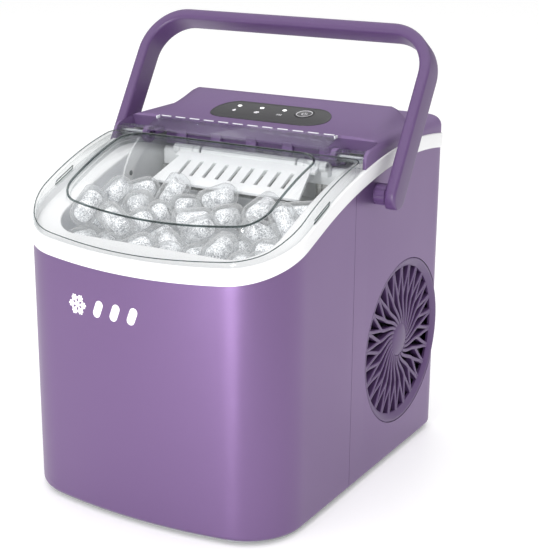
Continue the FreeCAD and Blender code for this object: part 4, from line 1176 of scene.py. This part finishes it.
drawn_steel = worked_metal("drawn_steel", "#B9BCC0", 0.28, 0.3 * mm, "X")


def finish_nodes(material, *names):
    """Gives CAD nodes whose shape is right the finish of the real part."""
    for name in names:
        for material_slot in nodes[name].material_slots:
            material_slot.link = "OBJECT"
            material_slot.material = material


finish_nodes(drawn_steel, "handle_pin_right", "handle_pin_left", "lid_hinge_pin_right", "lid_hinge_pin_left",
             "shovel_pins", "foot_screws")


# ---- fan guard ----
# A purple ABS ring set in the side, with a domed hub and slim curved ribs that fork
# halfway out. Behind it is the dark mouth of the fan duct.
guard_inner = 59.7 * mm
hub_radius = 14.0 * mm
rib_count = 26
rib_wide = 2.7 * mm
rib_deep = 6.2 * mm
guard_recess = 2.6 * mm
fork_radius = 37.0 * mm
stem_sweep = 0.48
fork_sweeps = (-0.11, 0.10)


def turned(profile, steps, centre, axis):
    """A lathe shape from (radius, height) points about an axis through a centre."""
    bm = bmesh.new()
    verts = [bm.verts.new((radius, 0, height)) for radius, height in profile]
    edges = [bm.edges.new(pair) for pair in zip(verts, verts[1:] + verts[:1])]
    bmesh.ops.spin(bm, geom=verts + edges, cent=(0, 0, 0), axis=(0, 0, 1), angle=math.tau, steps=steps,
                   use_merge=True)
    bmesh.ops.remove_doubles(bm, verts=bm.verts, dist=0.001 * mm)
    turn = Vector(axis).to_track_quat("Z", "Y").to_matrix().to_4x4()
    bmesh.ops.transform(bm, matrix=Matrix.Translation(centre) @ turn, verts=bm.verts)
    return bm


def guard_ring():
    """Flat flange flush with the side, a slope in to the recess, and a short sleeve behind."""
    profile = [(vent_reach - 0.25 * mm, -5.0 * mm), (vent_reach - 0.25 * mm, -0.7 * mm),
               (vent_reach - 0.7 * mm, -0.15 * mm),
               (vent_reach - 1.6 * mm, 0.0), (vent_reach - 2.6 * mm, -0.3 * mm),
               (guard_inner + 1.0 * mm, -2.2 * mm),
               (guard_inner, -3.0 * mm), (guard_inner, -5.0 * mm)]
    return turned(profile, 128, (half_width, vent_y, vent_z), (1, 0, 0))


def guard_hub():
    profile = [(0.0, -0.8 * mm), (4.0 * mm, -0.95 * mm), (9.0 * mm, -1.6 * mm), (12.4 * mm, -2.6 * mm),
               (13.6 * mm, -3.4 * mm),
               (14.0 * mm, -4.4 * mm), (14.0 * mm, -5.0 * mm), (0.0, -5.0 * mm)]
    return turned(profile, 64, (half_width, vent_y, vent_z), (1, 0, 0))


def rib_path(start, end, first_turn, sweep):
    """Points of a curved rib in the plane of the guard, from radius start to radius end."""
    points = []
    for step in range(13):
        share = step / 12
        radius = start + (end - start) * share
        turn = first_turn + sweep * math.sin(share * math.pi / 2)
        points.append((radius * math.cos(turn), radius * math.sin(turn)))
    return points


def rib(points):
    """Upright strip with rounded front edges along the path."""
    front = half_width - guard_recess
    sections = []
    for index, (y, z) in enumerate(points):
        before = Vector(points[max(index - 1, 0)])
        after = Vector(points[min(index + 1, len(points) - 1)])
        run = (after - before).normalized()
        across = Vector((-run.y, run.x)) * rib_wide / 2
        section = []
        for side, depth in ((-1.0, rib_deep), (-1.0, 0.5 * mm), (-0.6, 0.1 * mm), (0.0, 0.0),
                            (0.6, 0.1 * mm), (1.0, 0.5 * mm), (1.0, rib_deep)):
            section.append((front - depth, vent_y + y + across.x * side, vent_z + z + across.y * side))
        sections.append(section)
    return skin(sections)


def guard_ribs():
    """Each rib leaves the hub as one stem and reaches the ring as two branches."""
    ribs = []
    for index in range(rib_count):
        turn = math.tau * index / rib_count
        ribs.append(rib(rib_path(hub_radius - 1.0 * mm, fork_radius, turn, stem_sweep)))
        for sweep in fork_sweeps:
            branch = rib_path(fork_radius - 0.6 * mm, guard_inner + 0.6 * mm, turn + stem_sweep, sweep)
            ribs.append(rib(branch))
    return together(ribs)


guard_mesh = together([guard_ring(), guard_hub(), guard_ribs()])
piece("fan_guard", guard_mesh, deep_purple, "root", ["vent_grille"])


# ---- ice tank, shelf of the bay, and basket ----
# White polypropylene liner with soft corners. A raised band runs down its left wall and
# a small dark infrared eye beside it watches the ice level.
# The liner is greyer than the basket's and tray's white: painted shade for the inside of the tank.
liner_white_painted_shade = moulded_plastic("satin_white_pp", "#D4D5D8", 0.38, 0.9 * mm, 0.02 * mm)
basket_white = moulded_plastic("satin_white_pp_basket", "#ECECEC", 0.4, 0.9 * mm, 0.02 * mm)


def smoothed(node, edge, sharp_turn=35.0):
    """A merged copy of a CAD node with its flat faces made whole and its sharp edges rounded."""
    bm = bmesh.new()
    bm.from_mesh(nodes[node].data)
    bmesh.ops.transform(bm, matrix=nodes[node].matrix_world, verts=bm.verts)
    bmesh.ops.remove_doubles(bm, verts=bm.verts, dist=0.002 * mm)
    bmesh.ops.dissolve_limit(bm, angle_limit=math.radians(2.0), verts=bm.verts, edges=bm.edges)
    if edge:
        sharp = [e
                 for e in bm.edges if len(e.link_faces) == 2 and e.calc_face_angle() > math.radians(sharp_turn)]
        bmesh.ops.bevel(bm, geom=sharp, offset=edge, affect="EDGES", segments=2, profile=0.5, material=-1,
                        clamp_overlap=True)
    return bm


piece("tank_liner", smoothed("inner_tank", 0.0), liner_white_painted_shade, "root", ["inner_tank"])
piece("ice_scoop_basket", smoothed("ice_basket", 0.0), basket_white, "basket", ["ice_basket"])


def wall_band():
    """Curved raised band down the left wall from the hinge to the ice."""
    wall = -opening_half + 0.02 * mm
    face = -opening_half + 1.2 * mm
    centre_y, centre_z, reach = hinge_y + 22.0 * mm, 206.0 * mm, 52.0 * mm
    band_wide = 13.0 * mm
    sections = []
    for step in range(19):
        turn = math.radians(112.0 + 88.0 * step / 18)
        outward = Vector((0, math.cos(turn), math.sin(turn)))
        outer = Vector((0, centre_y, centre_z)) + outward * reach
        inner = outer - outward * band_wide
        edge = outward * 0.5 * mm
        sections.append([(wall, outer.y, outer.z), (face - 0.4 * mm, outer.y, outer.z),
                         (face, *(outer - edge)[1:]),
                         (face, *(inner + edge)[1:]), (face - 0.4 * mm, inner.y, inner.z),
                         (wall, inner.y, inner.z)])
    return skin(sections)


piece("tank_wall_band", wall_band(), gloss_white, "root")

# Dark polycarbonate window: a small glossy black dot.
dark_lens = moulded_plastic("dark_infrared_window", "#3A3F44", 0.2, 0.4 * mm, 0.005 * mm)
finish_nodes(dark_lens, "ice_level_sensors")


# ---- ice shovel, evaporator cap and hinge eyes ----
# The slotted white shovel hangs from two eyes on the insulated cap over the evaporator
# and rakes finished bullets forward into the basket.
soft_white = moulded_plastic("satin_white_pom", "#EFF0F1", 0.42, 0.9 * mm, 0.02 * mm)
eye_low, eye_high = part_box("shovel_pins")
shovel_pivot = (eye_low + eye_high) / 2
barrel_half = 42.0 * mm
barrel_radius = 4.0 * mm
barrel = rod(barrel_radius, (-barrel_half, shovel_pivot.y, shovel_pivot.z),
             (barrel_half, shovel_pivot.y, shovel_pivot.z))
bmesh.ops.bevel(barrel, geom=[e for e in barrel.edges if e.calc_face_angle() > 1.0], offset=0.8 * mm,
                affect="EDGES", segments=3, profile=0.5, material=-1)
piece("slotted_shovel", together([smoothed("ice_shovel", 0.5 * mm), barrel]), soft_white, "shovel",
      ["ice_shovel"])
piece("evaporator_cap", smoothed("evaporator_cover", 0.6 * mm), soft_white, "root",
      ["evaporator_cover"])
piece("shovel_eyes", smoothed("shovel_brackets", 0.4 * mm), soft_white, "root",
      ["shovel_brackets"])
tray_white = moulded_plastic("satin_white_pp_tray", "#E9EAEC", 0.36, 0.9 * mm, 0.02 * mm)
piece("tilting_tray", smoothed("water_tray", 0.3 * mm), tray_white, "tray", ["water_tray"])


# ---- ice bullets ----
# Clear shells about 20 mm across with a frosted hollow core, heaped in the basket so that
# the pile climbs towards the shovel.
bullet_radius = 9.9 * mm
bullet_half = 6.2 * mm
bullet_count = 100
heap_floor = 54.0 * mm
settle_steps = 400
drop_height = 0.42
back_clear = 10.2 * mm
basket_low, basket_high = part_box("ice_basket")


def settle_bullets():
    """Lets the bullets fall and push apart until they rest. Each is three joined balls."""
    chance = numpy.random.default_rng(11)
    clear = 2.2 * mm
    low = numpy.array([basket_low.x + clear, basket_low.y + clear, basket_low.z + heap_floor])
    high = numpy.array([basket_high.x - clear, basket_high.y - back_clear, drop_height])
    ceiling = numpy.array([high[0], high[1], 1.0]) - bullet_radius
    middles = chance.uniform(low + bullet_radius, high - bullet_radius, (bullet_count, 3))
    ways = chance.normal(size=(bullet_count, 3))
    ways /= numpy.linalg.norm(ways, axis=1)[:, None]
    offsets = numpy.array([-bullet_half, 0.0, bullet_half])
    owner = numpy.repeat(numpy.arange(bullet_count), 3)
    others = owner[:, None] != owner[None, :]
    pull = numpy.array([0.0, 0.12, -1.0])
    for step in range(settle_steps):
        fall = 1.6 * mm * max(0.1, 1.0 - step / (0.8 * settle_steps))
        balls = (middles[:, None, :] + ways[:, None, :] * offsets[None, :, None]).reshape(-1, 3) + pull * fall
        for _ in range(2):
            squares = (balls ** 2).sum(axis=1)
            distance = numpy.sqrt(numpy.maximum(squares[:, None] + squares[None, :] - 2 * balls @ balls.T,
                                                1e-12))
            weight = numpy.where(others, numpy.maximum(2 * bullet_radius - distance, 0.0) / distance, 0.0)
            push = 0.32 * (balls * weight.sum(axis=1)[:, None] - weight @ balls)
            size = numpy.linalg.norm(push, axis=1)[:, None] + 1e-9
            balls += push * numpy.minimum(1.0, 3 * mm / size)
            balls = numpy.clip(balls, low + bullet_radius, ceiling)
        trio = balls.reshape(bullet_count, 3, 3)
        middles = trio.mean(axis=1)
        along = trio[:, 2] - trio[:, 0]
        length = numpy.linalg.norm(along, axis=1)[:, None]
        ways = numpy.where(length > 0.1 * mm, along / numpy.maximum(length, 0.1 * mm), ways)
    return middles, ways


def bullet_shell():
    """Outer ice: a dome, a straight side, and an open end with a thick lip."""
    radius = bullet_radius
    profile = [(0.0, bullet_half + radius)]
    for step in range(1, 6):
        turn = math.pi / 2 * step / 5
        profile.append((radius * math.sin(turn), bullet_half + radius * math.cos(turn)))
    end = -bullet_half - radius * 0.92
    profile += [(radius, 0.0), (radius * 0.98, end + 2.0 * mm), (radius * 0.86, end + 0.5 * mm),
                (radius * 0.7, end),
                (radius * 0.5, end + 0.6 * mm), (radius * 0.4, end + 2.5 * mm)]
    return profile


def lathe(profile, steps):
    bm = bmesh.new()
    verts = [bm.verts.new((radius, 0, height)) for radius, height in profile]
    edges = [bm.edges.new(pair) for pair in zip(verts, verts[1:])]
    bmesh.ops.spin(bm, geom=verts + edges, cent=(0, 0, 0), axis=(0, 0, 1), angle=math.tau, steps=steps,
                   use_merge=True)
    bmesh.ops.remove_doubles(bm, verts=bm.verts, dist=0.001 * mm)
    bmesh.ops.holes_fill(bm, edges=bm.edges, sides=0)
    bmesh.ops.recalc_face_normals(bm, faces=bm.faces)
    return bm


def bullet_core():
    """Frosted core inside the shell."""
    radius = bullet_radius * 0.66
    top = bullet_half + bullet_radius * 0.62
    foot = -bullet_half - bullet_radius * 0.62
    return [(0.0, top), (radius * 0.5, top - 0.5 * mm), (radius * 0.86, top - 2.0 * mm),
            (radius, top - 4.5 * mm),
            (radius, foot + 2.0 * mm), (radius * 0.8, foot + 0.3 * mm), (0.0, foot)]


def heap(profile, steps, places):
    """One mesh of the same lathe shape at every place."""
    pattern = lathe(profile, steps)
    mesh = bpy.data.meshes.new("bullet")
    pattern.to_mesh(mesh)
    pattern.free()
    whole = bmesh.new()
    for place in places:
        start = len(whole.verts)
        whole.from_mesh(mesh)
        whole.verts.ensure_lookup_table()
        bmesh.ops.transform(whole, matrix=place, verts=whole.verts[start:])
    bpy.data.meshes.remove(mesh)
    return whole


def clear_ice():
    """Clear ice: see-through with a slightly wavy skin, a faint painted glow, and turned edges with a painted
    white highlight over a painted dark outline.
    """
    material, tree = new_material("clear_ice")
    coords = add_node(tree, "ShaderNodeTexCoord")
    wave = add_node(tree, "ShaderNodeTexNoise", {"Scale": 1.0 / (6.0 * mm), "Detail": 2.0},
                    {"Vector": coords.outputs["Object"]})
    bump = add_node(tree, "ShaderNodeBump", {"Strength": 0.5, "Distance": 0.8 * mm},
                    {"Height": wave.outputs["Fac"]})
    facing = add_node(tree, "ShaderNodeLayerWeight", {"Blend": 0.45}, {"Normal": bump.outputs["Normal"]})
    painted_edge_highlight = add_node(tree, "ShaderNodeMath", {1: 2.2}, {0: facing.outputs["Facing"]}, operation="POWER")
    rim = add_node(tree, "ShaderNodeMath", {1: 3.0}, {0: facing.outputs["Facing"]}, operation="POWER")
    # Light passing the turned edges is tinted dark grey: a painted dark outline.
    pass_tint = add_node(tree, "ShaderNodeMix", {6: linear("#FAFBFC"), 7: linear("#6A7278")},
                         {"Factor": rim.outputs["Value"]}, data_type="RGBA")
    clear = add_node(tree, "ShaderNodeBsdfTransparent", links={"Color": pass_tint.outputs[2]})
    # The white face mixed in is a painted highlight at the turned edges, and its emission is a painted glow.
    face = add_node(tree, "ShaderNodeBsdfPrincipled",
                    {"Base Color": linear("#FFFFFF"), "Roughness": 0.06, "IOR": 1.31,
                     "Emission Color": linear("#FFFFFF"), "Emission Strength": 0.25},
                    {"Normal": bump.outputs["Normal"]})
    share = add_node(tree, "ShaderNodeMapRange", {"To Min": 0.06, "To Max": 0.55},
                     {"Value": painted_edge_highlight.outputs["Value"]})
    mix = add_node(tree, "ShaderNodeMixShader", links={0: share.outputs["Result"], 1: clear.outputs["BSDF"],
                                                       2: face.outputs["BSDF"]})
    add_node(tree, "ShaderNodeOutputMaterial", links={"Surface": mix.outputs["Shader"]})
    return material


def frosted_ice():
    """Frosted ice: white grains and dark specks over a silvery sheen, with a painted glow in the same colours.
    """
    material, tree = new_material("frosted_ice")
    coords = add_node(tree, "ShaderNodeTexCoord")
    grains = add_node(tree, "ShaderNodeTexVoronoi", {"Scale": 1.0 / (0.9 * mm)},
                      {"Vector": coords.outputs["Object"]})
    clouds = add_node(tree, "ShaderNodeTexNoise", {"Scale": 1.0 / (7.0 * mm), "Detail": 3.0},
                      {"Vector": coords.outputs["Object"]})
    mixed = add_node(tree, "ShaderNodeMath",
                     links={0: grains.outputs["Distance"], 1: clouds.outputs["Fac"]}, operation="MULTIPLY")
    tone = add_node(tree, "ShaderNodeMapRange", {"From Min": 0.08, "From Max": 0.36},
                    {"Value": mixed.outputs["Value"]})
    tint = add_node(tree, "ShaderNodeMix", {6: linear("#6E7279"), 7: linear("#FFFFFF")},
                    {"Factor": tone.outputs["Result"]}, data_type="RGBA")
    bump = add_node(tree, "ShaderNodeBump", {"Strength": 0.8, "Distance": 0.3 * mm},
                    {"Height": grains.outputs["Distance"]})
    # Emission in the grain colours is a painted glow: the core is no lamp.
    shader = add_node(tree, "ShaderNodeBsdfPrincipled",
                      {"Roughness": 0.28, "Metallic": 0.3, "IOR": 1.31, "Emission Strength": 0.3},
                      {"Base Color": tint.outputs[2], "Emission Color": tint.outputs[2],
                       "Normal": bump.outputs["Normal"]})
    add_node(tree, "ShaderNodeOutputMaterial", links={"Surface": shader.outputs["BSDF"]})
    return material


middles, ways = settle_bullets()
places = []
turns = random.Random(5)
for middle, way in zip(middles, ways):
    turn = Vector(way).to_track_quat("Z", "Y").to_matrix().to_4x4()
    places.append(Matrix.Translation(Vector(middle)) @ turn @ Matrix.Rotation(turns.uniform(0, math.tau), 4,
                                                                              "Z"))
piece("ice_shells", heap(bullet_shell(), 18, places), clear_ice(), "basket", sharp=60.0)
piece("ice_cores", heap(bullet_core(), 14, places), frosted_ice(), "basket", sharp=60.0)


# ---- machine room parts ----
# Stamped, drawn and moulded parts inside the housing keep their CAD shapes.
copper_tube = worked_metal("drawn_copper", "#C87A4E", 0.3, 0.4 * mm, "Z")
nickel_plate = worked_metal("satin_nickel_plate", "#C9C6C0", 0.22, 0.3 * mm, "Z")
aluminium_fin = worked_metal("rolled_aluminium_fins", "#C4C7CA", 0.35, 0.5 * mm, "Z")
black_enamel = moulded_plastic("black_stoved_enamel", "#1C1C1E", 0.3, 1.5 * mm, 0.04 * mm, coat=0.4)
grey_rubber = moulded_plastic("grey_silicone_rubber", "#8C8C8A", 0.6, 1.0 * mm, 0.03 * mm)
black_rubber = moulded_plastic("black_nitrile_rubber", "#242424", 0.65, 1.0 * mm, 0.04 * mm)
white_foam = moulded_plastic("expanded_polystyrene", "#EDEDE8", 0.8, 3.0 * mm, 0.3 * mm)
circuit_green = moulded_plastic("solder_masked_board", "#1F6B45", 0.35, 0.8 * mm, 0.02 * mm, coat=0.3)
fan_grey = moulded_plastic("dark_grey_pbt", "#4B4D50", 0.45, 0.8 * mm, 0.02 * mm)
base_grey = moulded_plastic("galvanised_base", "#9A9CA0", 0.4, 4.0 * mm, 0.02 * mm, metallic=0.8)
zinc_case = moulded_plastic("zinc_plated_case", "#A9ABAE", 0.35, 3.0 * mm, 0.01 * mm, metallic=0.9)

finish_nodes(copper_tube, "discharge_line", "suction_line", "filter_drier")
finish_nodes(nickel_plate, "evaporator", "freezing_fingers", "water_probes", "tray_axles")
finish_nodes(aluminium_fin, "condenser")
finish_nodes(black_enamel, "compressor")
finish_nodes(grey_rubber, "compressor_grommets", "pump_hose", "drain_plug")
finish_nodes(black_rubber, "rubber_feet")
finish_nodes(white_foam, "foam_jacket")
finish_nodes(circuit_green, "display_board", "main_board")
finish_nodes(fan_grey, "fan_blade", "fan_shroud")
finish_nodes(base_grey, "base_plate")
finish_nodes(zinc_case, "fan_motor", "tray_motor")
finish_nodes(soft_white, "board_standoffs", "drain_spout", "water_pump")
finish_nodes(black_enamel, "power_inlet")
